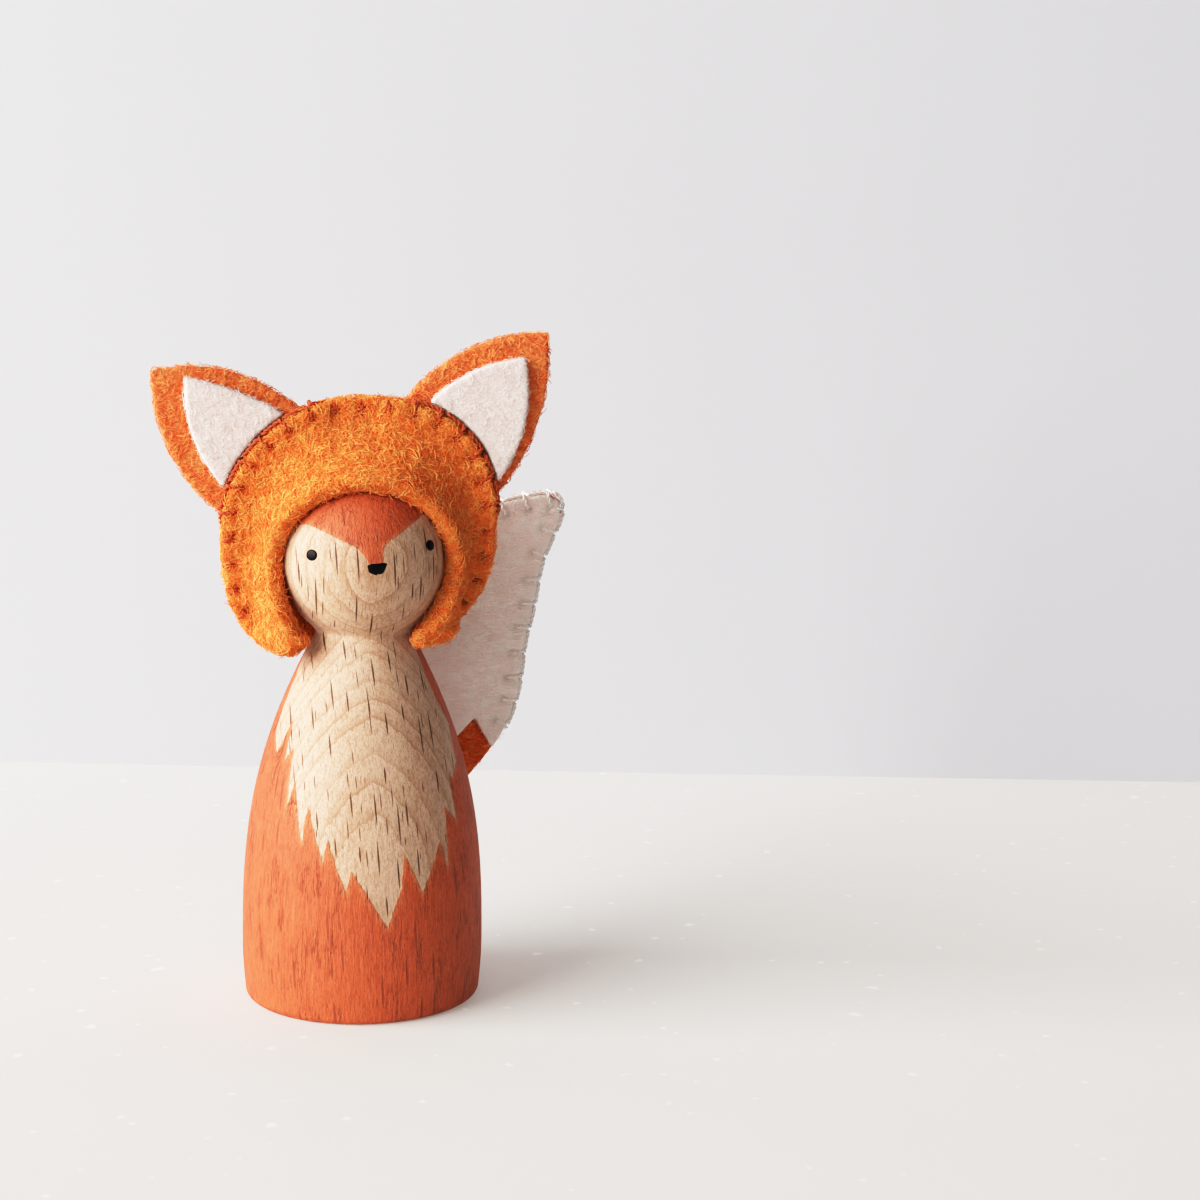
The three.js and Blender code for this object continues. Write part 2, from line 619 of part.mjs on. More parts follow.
function liningSolid(ear, lining) {
  const front = SEAM_DEPTH - EAR_FELT / 2 - LAYER_GAP - WHITE_FELT;
  const felt = toSolid(sheet(leafShape(ear, { ...lining, foot: LINING_FOOT }), front, WHITE_FELT));
  return felt.subtract(cutter(outlineShape(LINING_FROM_SEAM), front, WHITE_FELT));
}

// Tail outline in shares of its sweep and length, from the root up the left edge and down the right one
const TAIL_OUTLINE = [
  [0.0, 0.05], [0.02, 0.2], [0.04, 0.4], [0.09, 0.58], [0.22, 0.76], [0.41, 0.9], [0.64, 0.97],
  [0.85, 0.996], [0.968, 0.995], [1.0, 0.95], [0.95, 0.88], [0.896, 0.811], [0.857, 0.698], [0.813, 0.599],
  [0.775, 0.46], [0.704, 0.359], [0.612, 0.29], [0.419, 0.177], [0.29, 0.09], [0.2, 0.01], [0.08, -0.02],
];
// Lower edge of the white felt in the same shares, from left to right
const ZIGZAG = [
  [-0.1, 0.37], [0.08, 0.3], [0.22, 0.395], [0.39, 0.315], [0.549, 0.402], [0.66, 0.3], [0.9, 0.3],
];
const TIP_FROM = 0.37; // share of the length where the stitching starts

function tailPlace([across, up]) {
  return new THREE.Vector2(TAIL_ROOT.x + across * TAIL_SWEEP, TAIL_ROOT.z + up * TAIL_LENGTH);
}

function tailEdge() {
  const through = TAIL_OUTLINE.map(tailPlace).map((p) => new THREE.Vector3(p.x, p.y, 0));
  return new THREE.CatmullRomCurve3(through, true, 'centripetal');
}

function tailOffset(curve, u, out) {
  const p = curve.getPointAt(u);
  const t = curve.getTangentAt(u);
  return new THREE.Vector2(p.x - t.y * out, p.y + t.x * out);
}

function tailShape(out) {
  const curve = tailEdge();
  const steps = 48;
  const points = [];
  for (let i = 0; i < steps; i++) points.push(tailOffset(curve, i / steps, out));
  return shapeThrough(points.reverse());
}

function makeTail() {
  const curve = tailEdge();
  const length = curve.getLength();
  const level = (u) => (curve.getPointAt(u).y - TAIL_ROOT.z) / TAIL_LENGTH;
  const samples = 400;
  const sewn = [...Array(samples).keys()].map((i) => i / samples).filter((u) => level(u) > TIP_FROM);
  const first = sewn[0];
  const last = sewn[sewn.length - 1];
  const count = Math.round(((last - first) * length) / STITCH_SPACING);
  const front = tailFace - LAYER_GAP - WHITE_FELT;
  const rear = tailFace + TAIL_FELT + LAYER_GAP;
  const path = [];
  const holes = [];
  for (let i = 0; i <= count; i++) {
    const at = mix(first, last, i / count);
    const on = (shift, out, depth) => {
      const flat = tailOffset(curve, at + shift / length, out);
      return new THREE.Vector3(flat.x, depth, flat.y);
    };
    path.push(...blanketStitch(on, {
      front: front - threadLift,
      back: rear + WHITE_FELT + threadLift,
      runner: tailFace + TAIL_FELT / 2,
      leg: TAIL_LEG,
    }));
    holes.push(needleHole(tailOffset(curve, at, -TAIL_LEG), front, rear + WHITE_FELT));
    const spacing = ((last - first) * length) / count;
    const turning = curve.getTangentAt(at).angleTo(curve.getTangentAt(Math.min(1, at + spacing / length)));
    const between = i < count ? Math.ceil(turning / BEND_PER_POINT) - 1 : 0;
    for (let k = 1; k <= between; k++) {
      path.push(on((spacing * k) / (between + 1), threadLift, tailFace + TAIL_FELT / 2));
    }
  }
  const past = 0.2;
  const above = shapeThrough([...ZIGZAG, [1 + past, 1 + past], [-past, 1 + past]].map(tailPlace));
  const tip = (depth) => {
    const leaf = toSolid(sheet(tailShape(-TIP_INSET), depth, WHITE_FELT));
    return pierced(leaf.intersect(cutter(above, depth, WHITE_FELT)), holes);
  };
  const core = toSolid(sheet(tailShape(0), tailFace, TAIL_FELT));
  addPiece(group, 'tail_core', toGeometry(pierced(core, holes)), tailMaterial);
  addPiece(group, 'tail_tip_front', toGeometry(tip(front)), whiteMaterial);
  addPiece(group, 'tail_tip_back', toGeometry(tip(rear)), whiteMaterial);
  addPiece(group, 'tail_tip_thread', threadGeometry(path), whiteThreadMaterial);
}

// The glue bead between the tail's flat root and the round back, shaped by both
function makeGlue() {
  const centre = tailPlace(GLUE_PLACE);
  const bead = new THREE.CylinderGeometry(1, 1, bellyRadius, 20);
  bead.scale(GLUE_HALF_WIDTH, 1, GLUE_HALF_HEIGHT);
  bead.translate(centre.x, tailFace - LAYER_GAP - bellyRadius / 2, centre.y);
  const peg = new THREE.LatheGeometry(pegProfile(LAYER_GAP), PEG_FACETS);
  peg.rotateX(Math.PI / 2);
  addPiece(group, 'tail_glue_pad', toGeometry(toSolid(bead).subtract(toSolid(peg))), glueMaterial);
}

const group = new THREE.Group();
const hood = new THREE.Group();
hood.rotation.z = HOOD_YAW * degrees;
group.add(hood);

function addPiece(parent, name, geometry, material) {
  const mesh = new THREE.Mesh(geometry, material);
  mesh.name = name;
  parent.add(mesh);
}

function makePeg() {
  const turned = new THREE.LatheGeometry(pegProfile(), PEG_FACETS);
  turned.rotateX(Math.PI / 2);
  addPiece(group, 'peg', turned, woodMaterial);
}

function makeHood() {
  const stops = seamStops();
  const panels = HOOD_FELT + EAR_FELT;
  const nextStitch = STITCH_SPACING / hoodHalfWidth / degrees;
  const path = [];
  const panelHoles = [];
  const earHoles = [];
  for (const { at, place } of stops) {
    const widest = Math.max(...[-STITCH_REACH, 0, STITCH_REACH].map((shift) => seamHalfGap(place(shift))));
    const stack = widest + HOOD_FELT + threadLift;
    const overEar = earCover(at, nextStitch + RUNNER_LEAD) > 0;
    const runner = overEar ? SEAM_DEPTH - EAR_FELT / 2 - threadLift : SEAM_DEPTH;
    const on = (shift, out, depth) => {
      const flat = outlineOffset(place(shift), out);
      return new THREE.Vector3(flat.x, depth, flat.y);
    };
    path.push(...blanketStitch(on, {
      front: SEAM_DEPTH - stack, back: SEAM_DEPTH + stack, runner, leg: STITCH_LEG,
    }));
    const beside = outlineOffset(place(stitchHalf), threadLift);
    const inner = needleHole(outlineOffset(at, -STITCH_LEG), SEAM_DEPTH - panels, SEAM_DEPTH + panels);
    const outer = needleHole(beside, SEAM_DEPTH - EAR_FELT, SEAM_DEPTH + EAR_FELT);
    panelHoles.push(inner);
    earHoles.push(inner, outer);
  }
  const front = feltSolid(frontPanelGrid(), HOOD_FELT);
  const { grid, middle } = backPanelGrid();
  const back = feltSolid(grid, HOOD_FELT, middle);
  addPiece(hood, 'hood_front_panel', toGeometry(pierced(front, panelHoles)), hoodMaterial);
  addPiece(hood, 'hood_back_panel', toGeometry(pierced(back, panelHoles)), backMaterial);
  addPiece(hood, 'hood_seam_thread', threadGeometry(path), rustThreadMaterial);
  for (const side of ['left', 'right']) {
    addPiece(hood, `ear_${side}`, toGeometry(earSolid(EARS[side], earHoles)), earMaterial);
    addPiece(hood, `ear_${side}_lining`, toGeometry(liningSolid(EARS[side], LININGS[side])), whiteMaterial);
  }
}

makePeg();
makeHood();
makeTail();
makeGlue();

export default group;
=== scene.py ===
import math
from collections import namedtuple
from functools import partialmethod

import bmesh
import bpy
import numpy as np
from bpy.props import FloatProperty, FloatVectorProperty, IntProperty, PointerProperty
from mathutils import Matrix, Vector
from mathutils.bvhtree import BVHTree
from mathutils.kdtree import KDTree


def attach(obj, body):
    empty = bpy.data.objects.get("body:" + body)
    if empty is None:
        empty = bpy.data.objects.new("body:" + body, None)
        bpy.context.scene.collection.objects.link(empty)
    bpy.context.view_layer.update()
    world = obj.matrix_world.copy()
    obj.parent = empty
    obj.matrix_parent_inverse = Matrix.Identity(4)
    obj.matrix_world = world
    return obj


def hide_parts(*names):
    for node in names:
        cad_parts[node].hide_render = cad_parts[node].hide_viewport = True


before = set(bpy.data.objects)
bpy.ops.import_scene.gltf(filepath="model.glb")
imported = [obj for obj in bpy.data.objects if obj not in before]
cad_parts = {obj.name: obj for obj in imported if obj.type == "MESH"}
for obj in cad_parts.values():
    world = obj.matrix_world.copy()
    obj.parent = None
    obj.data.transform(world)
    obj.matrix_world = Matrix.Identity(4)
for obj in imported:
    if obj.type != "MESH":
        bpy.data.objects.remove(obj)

bl_info = {
    "name": "Fox peg doll",
    "version": (1, 0, 0),
    "blender": (4, 5, 0),
    "location": "3D View > Sidebar > Peg Doll",
    "description": "A turned beech peg figure with a painted coat, a sewn felt bonnet and a felt tail",
    "category": "Object",
}

MM = 0.001

# Turned peg, in millimetres. The doll faces -Y and stands with its base's middle on the origin.
BASE_RADIUS = 15.0
FOOT_ROUND = 1.0
BELLY_SWELL = 0.35
BELLY_RADIUS = BASE_RADIUS + BELLY_SWELL
BELLY_HEIGHT = 7.0
NECK_HEIGHT = 47.4
NECK_RADIUS = 5.9
NECK_ROUND = 0.9
HEAD_RADIUS = 10.45
HEAD_HALF_HEIGHT = 11.07
BELL_SHOULDER = 2.6
BELL_WAIST = 1.09
HEAD_CENTRE = NECK_HEIGHT + HEAD_HALF_HEIGHT * math.sqrt(1 - (NECK_RADIUS / HEAD_RADIUS) ** 2)
HEAD_TOP = HEAD_CENTRE + HEAD_HALF_HEIGHT
NECK_LEAD = 1.2  # the finely divided neck begins this far below its narrowest level
UNDERSIDE_RINGS = (4.0, 9.0)
FOOT_PAINT_LEVEL = 0.3  # below this height the coat ends on the rounded foot
WELL_BARE = 9.0  # inside the bare wood at the middle of the underside, and as far outside it at the crown

# How finely the peg is divided, in steps and in degrees
FOOT_STEPS = 7
BELLY_STEPS = 9
BELL_STEPS = 178
NECK_STEPS = 16
FACE_STEPS = 80
CROWN_STEPS = 16
BACK_STEPS = 45
BROW_ANGLE = 38.0
FRONT_REACH = 98.0
FRONT_STEP = 0.86

# The bare wood's outline on the peg: degrees round it from the front, and height in millimetres
PAINT_EDGE_LEFT = [
    (-91.9, 44.4), (-82.7, 41.6), (-81.3, 37.3), (-78.6, 34.8), (-68.7, 32.6), (-60.9, 37.3), (-59.0, 32.1),
    (-53.8, 33.7), (-50.8, 26.7), (-47.6, 30.1), (-39.7, 22.8), (-37.8, 27.5), (-27.5, 20.6), (-26.0, 23.6),
    (-16.1, 16.9), (-13.9, 19.8), (3.3, 12.5),
]
PAINT_EDGE_RIGHT = [
    (6.7, 15.2), (9.7, 17.1), (11.8, 21.6), (20.9, 16.4), (32.7, 22.5), (36.6, 18.7), (38.2, 26.4),
    (46.7, 24.3), (45.6, 28.4), (48.2, 31.1), (44.9, 33.1), (49.3, 29.4), (58.7, 31.2), (60.6, 33.5),
    (65.1, 35.8), (58.4, 38.6), (57.1, 42.1), (60.8, 45.0), (66.0, 47.5), (72.0, 52.0), (74.0, 58.0),
]
FOREHEAD_EDGE = [
    (66.0, 62.2), (46.1, 62.4), (35.9, 61.8), (22.7, 60.8), (10.5, 59.6), (6.3, 59.0), (5.0, 58.0),
    (4.9, 56.5), (-4.2, 56.4), (-5.8, 57.3), (-11.9, 58.7), (-21.7, 59.5), (-35.9, 60.5), (-53.1, 61.3),
    (-70.0, 61.0), (-78.0, 57.0), (-82.0, 50.0),
]
DEGREE_ON_PEG = 0.22  # millimetres round the peg for one degree, about midway up

# Painted eyes and nose: degrees from the front and height, then size, rise and outline in millimetres
EYES = [("eye_left", (-45.5, 57.7), 1.06), ("eye_right", (45.2, 58.7), 1.02)]
EYE_OVAL = 0.10
EYE_RISE = 0.16
NOSE_PLACE = (1.0, 56.25)
NOSE_RISE = 0.07
NOSE_CORNERS = [
    (-1.32, 0.50), (-0.62, 0.72), (0.1, 0.74), (0.75, 0.82), (1.34, 0.72), (1.12, 0.12), (0.86, -0.45),
    (0.42, -0.70), (0.12, -0.62), (-0.10, -0.82), (-0.62, -0.62), (-1.05, -0.45), (-1.18, 0.0),
]
DAB_RIM_SINK = 0.03
DAB_SINK = 0.05

# Felt and thread, in millimetres
HOOD_FELT = 2.0
EAR_FELT = 1.6
WHITE_FELT = 1.2
TAIL_FELT = 1.2
LAYER_GAP = 0.12
THREAD_RADIUS = 0.27
THREAD_GAP = 0.12
THREAD_LIFT = THREAD_GAP + THREAD_RADIUS
STITCH_HALF = THREAD_RADIUS + THREAD_GAP / 2
DRAWN_LIFT = {"hood": -0.15, "ear": 0.55, "tail": 0.08}  # out past the felt's edge, once drawn tight
FACE_LIFT = {"hood": -0.16, "tail": -0.06}  # the same out of its faces
DRAWN_RADIUS = 0.29
HOLE_RADIUS = 0.44  # of the needle holes, as drawn to scale in the solids
PLUG_RADIUS = 0.56
PLUG_INSET = 0.05
DIMPLE_REACH = 0.68
HOLE_DIMPLE = 0.5
LEG_DIMPLE = 0.34
EDGE_DIMPLE = 0.04
FAINTEST_DIMPLE = 0.01
TAIL_DIMPLE_SHARE = 0.5
TAIL_RUNNER_DEPTH = 0.35
STITCH_SPACING = 3.4
HOOD_LEG = 1.3
TAIL_LEG = 1.9
STITCH_BEVEL = 0.25
LUMP_SIZE = 2.6
SAME_PLACE = 1e-7  # metres

# Bonnet seam, in millimetres and degrees
HOOD_YAW = -5.0
HOOD_HALF_WIDTH = HEAD_RADIUS + 6.6
HOOD_CENTRE = HEAD_CENTRE + 3.3
HOOD_RISE = HEAD_TOP + 8.9 - HOOD_CENTRE
HOOD_DROP = 13.3 + 3.3
HOOD_SHIFT = -0.45
CROWN_FULLNESS = {"left": 1.9, "right": 2.45}
LOBE_FULLNESS = {"left": 3.0, "right": 2.2}
SEAM_DEPTH = 1.0
SEAM_END = {"left": 224.0, "right": -44.0}
SEAM_TAIL = 3.0
LOBE_BACK = 4.0
LOBE_IN = 0.9
LOBE_LEVELS = (45.5, 57.0)  # the tuck of the lobes fades between the two values of each pair
LOBE_SIDES = (7.5, 13.5)
LOBE_FACES = (0.0, 3.0)
RIGHT_LOBE = (2.0, 8.0)
RIGHT_LOBE_FACES = (1.0, 6.0)
STITCH_REACH = 0.9
EAR_MARGIN = 4.2
EAR_FADE = EAR_MARGIN + 7
EAR_SPANS = {"left": (116.0, 173.5), "right": (13.4, 70.7)}

# Tail edge, in shares of its sweep and length
TAIL_ROOT = (2.8, 12.0)
TAIL_LENGTH = 51.0
TAIL_SWEEP = 26.5
TAIL_FACE = BELLY_RADIUS + 0.15
TIP_FROM = 0.37
TAIL_OUTLINE = [
    (0.0, 0.05), (0.02, 0.2), (0.04, 0.4), (0.09, 0.58), (0.22, 0.76), (0.41, 0.9), (0.64, 0.97),
    (0.85, 0.996), (0.968, 0.995), (1.0, 0.95), (0.95, 0.88), (0.896, 0.811), (0.857, 0.698), (0.813, 0.599),
    (0.775, 0.46), (0.704, 0.359), (0.612, 0.29), (0.419, 0.177), (0.29, 0.09), (0.2, 0.01), (0.08, -0.02),
]

# Beech: the log's pith stands behind the peg
PITH_DISTANCE = 14.0
PITH_ASIDE = 2.6
RAY_DISTANCE = 60.0
GRAIN_LEAN = 0.06
PEAK_AT = -0.5  # the arches of the rings come to a low point here, to the left of the middle
PEAK_ROUND = 0.12
RING_START = 6.9
BOW_SPACING = 3.45
WARM_TINT = (0.9, 0.8, 0.66)

# Flecks: distance apart, height as a share of the fleck length, width, coverage, seed and weight
FLECK_SIZES = [
    (2.2, 1.3, 0.22, 0.68, 2.0, 1.0), (1.3, 0.66, 0.15, 0.38, 5.0, 0.85), (0.65, 0.33, 0.11, 0.33, 8.0, 0.35),
]

# Felt: how its strands lie, in degrees, and the share of each colour channel down between them, which is
# painted shade. The stray fibres take such shares for a deeper tone from place to place.
STRAND_TURNS = [(0, 0, 0), (62, 20, 35), (25, -55, 80), (-40, 35, 128), (75, -15, 160)]
ORANGE_DEPTH = (0.92, 0.38, 0.24)
WHITE_DEPTH = (0.95, 0.93, 0.92)
ORANGE_FIBRE_DEPTH = (0.96, 0.74, 0.70)

# Stray fibres: name, felts, fibres per mm2, shares of length and thickness, seed, colour, body and slot
FUZZ = [
    ("hood_front_fuzz", ["hood_front_panel_felt"], 5.9, 1.0, 1.0, 3, "orange", "bonnet", "hood_felt"),
    ("hood_front_down", ["hood_front_panel_felt"], 5.9, 0.55, 1.0, 9, "orange", "bonnet", "hood_felt"),
    ("hood_back_fuzz", ["hood_back_panel_felt"], 3.9, 1.0, 1.0, 4, "orange", "bonnet", "hood_felt"),
    ("ear_fuzz", ["ear_left_felt", "ear_right_felt"], 5.0, 0.9, 1.0, 5, "red", "bonnet", "ear_felt"),
    (
        "lining_fuzz", ["ear_left_lining_felt", "ear_right_lining_felt"],
        6.0, 0.7, 0.45, 6, "white", "bonnet", "white_felt",
    ),
    ("tail_fuzz", ["tail_core_felt"], 2.0, 0.7, 0.8, 7, "red", "figure", "tail_felt"),
    (
        "tail_tip_fuzz", ["tail_tip_front_felt", "tail_tip_back_felt"],
        3.0, 0.8, 0.45, 8, "white", "figure", "white_felt",
    ),
]

# Camera, in millimetres
CAMERA_PLACE = Vector((-39.796, -274.393, 91.421))
CAMERA_FORWARD = Vector((0.24709, 0.95832, -0.14344))
CAMERA_UP = Vector((0.01945, 0.14310, 0.98952))
SENSOR_WIDTH = 36.0

# Soft lights, in metres: colour, size and place
KEY_LAMP = ((1.0, 0.98, 0.955), (1.45, 1.0), (-1.22, -0.26, 0.55))
FRONT_LAMP = ((1.0, 0.93, 0.89), (1.4, 1.2), (-0.40, -1.50, 0.80))
FILL_COLOUR = (0.95, 0.96, 1.0)
DOLL_MIDDLE = Vector((0, 0, 0.045))

# Round floor and the board behind the doll, in metres
FLOOR_RADIUS = 0.6
FLOOR_SIDES = 96
FLOOR_GLOW = (0.205, 0.182, 0.165)  # keeps the shadow on it soft, as in a pale room
SPECK_COLOUR = (0.78, 0.78, 0.78)
WALL_HALF_WIDTH = 0.3
WALL_HEIGHT = 0.5

# How the picture's tones follow the light: firm shadows and soft highlights
TONE_CURVE = [
    (0.05, 0.026), (0.15, 0.112), (0.35, 0.355), (0.6, 0.635), (0.9, 0.83), (1.25, 0.94), (1.6, 0.985),
]
BRIGHTEST = 2.0
ROOM_COLOUR = (0.80, 0.80, 0.815)  # of the pale room past the floor and the wall

FeltPiece = namedtuple("FeltPiece", "node slot body material flat area held rests_on rounding")
Stitch = namedtuple("Stitch", "on front back runner leg lift")


# Sizes and colours that a user would change
def colour_setting(name, told, default):
    return FloatVectorProperty(name=name, description=told, subtype="COLOR", default=default, min=0, max=1)


def length_setting(name, told, default, low, high):
    """A length whose default and limits are given in millimetres."""
    return FloatProperty(
        name=name, description=told, default=default * MM, min=low * MM, max=high * MM, unit="LENGTH",
    )


class PegSettings(bpy.types.PropertyGroup):
    wood_colour: colour_setting("Beech", "Early wood of the bare beech", (0.617, 0.413, 0.298))
    grain_colour: colour_setting("Grain", "Late wood of the annual rings", (0.33, 0.165, 0.08))
    fleck_colour: colour_setting("Flecks", "Ray flecks of the beech", (0.095, 0.036, 0.013))
    paint_colour: colour_setting("Coat", "Matt paint of the coat and the brow", (0.555, 0.109, 0.036))
    thin_paint_colour: colour_setting("Thin paint", "The paint where the brush ran dry", (0.65, 0.26, 0.115))
    ring_spacing: length_setting("Ring spacing", "Distance between annual rings", 1.15, 0.3, 5)
    fleck_length: length_setting("Fleck length", "Longest ray fleck", 4.6, 1, 9)
    eye_size: length_setting("Eye size", "Diameter of the painted eyes", 1.5, 0.5, 3)


class FeltSettings(bpy.types.PropertyGroup):
    hood_colour: colour_setting("Bonnet", "Orange felt of the bonnet", (1.0, 0.36, 0.10))
    ear_colour: colour_setting("Ears", "Orange felt of the ears", (1.0, 0.325, 0.118))
    tail_colour: colour_setting("Tail", "Orange felt of the tail", (0.92, 0.225, 0.055))
    white_colour: colour_setting("White felt", "White felt of the ears' linings", (0.75, 0.635, 0.60))
    tip_colour: colour_setting("Tail tip", "Thin white felt over the orange core", (1.0, 0.88, 0.825))
    fibre_length: length_setting("Stray fibre length", "Length of a stray fibre on the felt", 1.5, 0.2, 5)
    fibre_thickness: length_setting("Stray fibre thickness", "Diameter of a stray fibre", 0.08, 0.01, 0.2)
    grid_size: length_setting("Surface grid", "Grid that the felt's surface is formed on", 0.25, 0.15, 1)
    swell: length_setting("Swell", "How far the soft felt stands up round its stitches", 0.08, 0, 0.5)
    lump_height: length_setting("Lumps", "Height of the uneven felt's lumps", 0.16, 0, 1)


class ThreadSettings(bpy.types.PropertyGroup):
    rust_colour: colour_setting("Rust thread", "Thread of the bonnet's seam", (0.60, 0.115, 0.035))
    white_colour: colour_setting("White thread", "Thread of the tail's tip", (0.99, 0.95, 0.91))
    twist_length: length_setting("Twist length", "Length of thread in one turn of its plies", 1.5, 0.4, 5)
    softness: IntProperty(
        name="Corner softness", description="How far the thread rounds its corners", default=4, min=0, max=20,
    )


class StageSettings(bpy.types.PropertyGroup):
    floor_colour: colour_setting("Floor", "Pale floor", (0.56, 0.56, 0.545))
    wall_colour: colour_setting("Wall", "Pale wall", (0.52, 0.525, 0.556))
    wall_distance: length_setting("Wall distance", "From the camera to the wall", 405, 200, 3000)
    key_power: FloatProperty(
        name="Key light", description="Power of the large soft light on the left", default=51.0, min=0,
        max=90, unit="POWER",
    )
    fill_strength: FloatProperty(
        name="Fill light", description="Strength of the even light from all round", default=0.11, min=0,
        max=5,
    )
    front_power: FloatProperty(
        name="Front light", description="Power of the dim light from the room in front", default=5.3, min=0,
        max=50, unit="POWER",
    )
    lens: FloatProperty(name="Lens", description="Focal length in millimetres", default=66.0, min=10, max=300)


def settings_of(group):
    """The user's settings for the peg, felt, thread or stage."""
    return getattr(bpy.context.scene, "peg_doll_" + group)


def mix(a, b, share):
    return a + (b - a) * share


def smooth_step(x, low, high):
    share = min(1.0, max(0.0, (x - low) / (high - low)))
    return share * share * (3 - 2 * share)


def spread(a, b, count):
    """Values that go evenly from a towards b, which isn't one of them."""
    return [mix(a, b, i / count) for i in range(count)]


class NodeMaker:
    """Adds nodes to a tree and joins them. A value is a number, a tuple or another node's output."""

    def __init__(self, tree):
        self.tree = tree

    def add(self, kind, inputs=None, **settings):
        node = self.tree.nodes.new(kind)
        for name, value in settings.items():
            setattr(node, name, value)
        for name, value in (inputs or {}).items():
            self.feed(self.socket(node, name), value)
        return node

    def socket(self, node, name):
        if isinstance(name, int):
            return node.inputs[name]
        return next(s for s in node.inputs if s.name == name and s.enabled)

    def feed(self, socket, value):
        if isinstance(value, bpy.types.NodeSocket):
            self.tree.links.new(value, socket)
        elif socket.type == "RGBA" and len(value) == 3:
            socket.default_value = (*value, 1.0)
        else:
            socket.default_value = value

    def feed_all(self, sockets, values):
        for name, value in values.items():
            self.feed(sockets[name], value)

    def math(self, operation, *values, clamp=False):
        values = dict(enumerate(values))
        return self.add("ShaderNodeMath", values, operation=operation, use_clamp=clamp).outputs[0]

    plus = partialmethod(math, "ADD")
    minus = partialmethod(math, "SUBTRACT")
    times = partialmethod(math, "MULTIPLY")
    over = partialmethod(math, "DIVIDE")
    power = partialmethod(math, "POWER")
    most = partialmethod(math, "MAXIMUM")
    scaled = partialmethod(math, "MULTIPLY_ADD")

    def vector(self, operation, *values, scale=None):
        node = self.add("ShaderNodeVectorMath", dict(enumerate(values)), operation=operation)
        if scale is not None:
            self.feed(node.inputs["Scale"], scale)
        return node.outputs["Vector"]

    def vector_length(self, vector):
        return self.add("ShaderNodeVectorMath", {0: vector}, operation="LENGTH").outputs["Value"]

    def join(self, x, y, z):
        return self.add("ShaderNodeCombineXYZ", {"X": x, "Y": y, "Z": z}).outputs[0]

    def split(self, vector):
        return self.add("ShaderNodeSeparateXYZ", {"Vector": vector}).outputs

    def stretch(self, vector, scale, turn=(0, 0, 0)):
        turned = tuple(math.radians(a) for a in turn)
        inputs = {"Vector": vector, "Rotation": turned, "Scale": scale}
        return self.add("ShaderNodeMapping", inputs).outputs[0]

    def noise(self, vector, scale, detail=2.0, roughness=0.5):
        inputs = {"Vector": vector, "Scale": scale, "Detail": detail, "Roughness": roughness}
        return self.add("ShaderNodeTexNoise", inputs).outputs[0]

    def scatter(self, vector):
        return self.add("ShaderNodeTexWhiteNoise", {"Vector": vector}, noise_dimensions="3D").outputs

    def blend(self, share, a, b):
        return self.add("ShaderNodeMix", {0: share, 6: a, 7: b}, data_type="RGBA").outputs[2]

    def ramp(self, value, low, high):
        inputs = {"Value": value, "From Min": low, "From Max": high}
        return self.add("ShaderNodeMapRange", inputs, interpolation_type="SMOOTHSTEP").outputs[0]

    def bump(self, strength, distance, height):
        """A normal from a height, whose distance is in millimetres."""
        inputs = {"Strength": strength, "Distance": distance * MM, "Height": height}
        return self.add("ShaderNodeBump", inputs).outputs[0]

    def attribute(self, name):
        return self.add("ShaderNodeAttribute", attribute_name=name).outputs["Fac"]

    def group(self, tree, inputs):
        kind = "GeometryNodeGroup" if tree.bl_idname == "GeometryNodeTree" else "ShaderNodeGroup"
        node = self.add(kind, node_tree=tree)
        self.feed_all(node.inputs, inputs)
        return node.outputs


def new_tree(kind, name, inputs, outputs):
    """A node tree with named sockets, each given by its default or, where it has none, by its kind."""
    tree = bpy.data.node_groups.new(name, kind)
    for side, sockets in (("INPUT", inputs), ("OUTPUT", outputs)):
        for label, given in sockets.items():
            if isinstance(given, str):
                tree.interface.new_socket(label, in_out=side, socket_type="NodeSocket" + given)
            else:
                number = "NodeSocketInt" if isinstance(given, int) else "NodeSocketFloat"
                tree.interface.new_socket(label, in_out=side, socket_type=number).default_value = given
    make = NodeMaker(tree)
    return make, make.add("NodeGroupInput").outputs, make.add("NodeGroupOutput").inputs


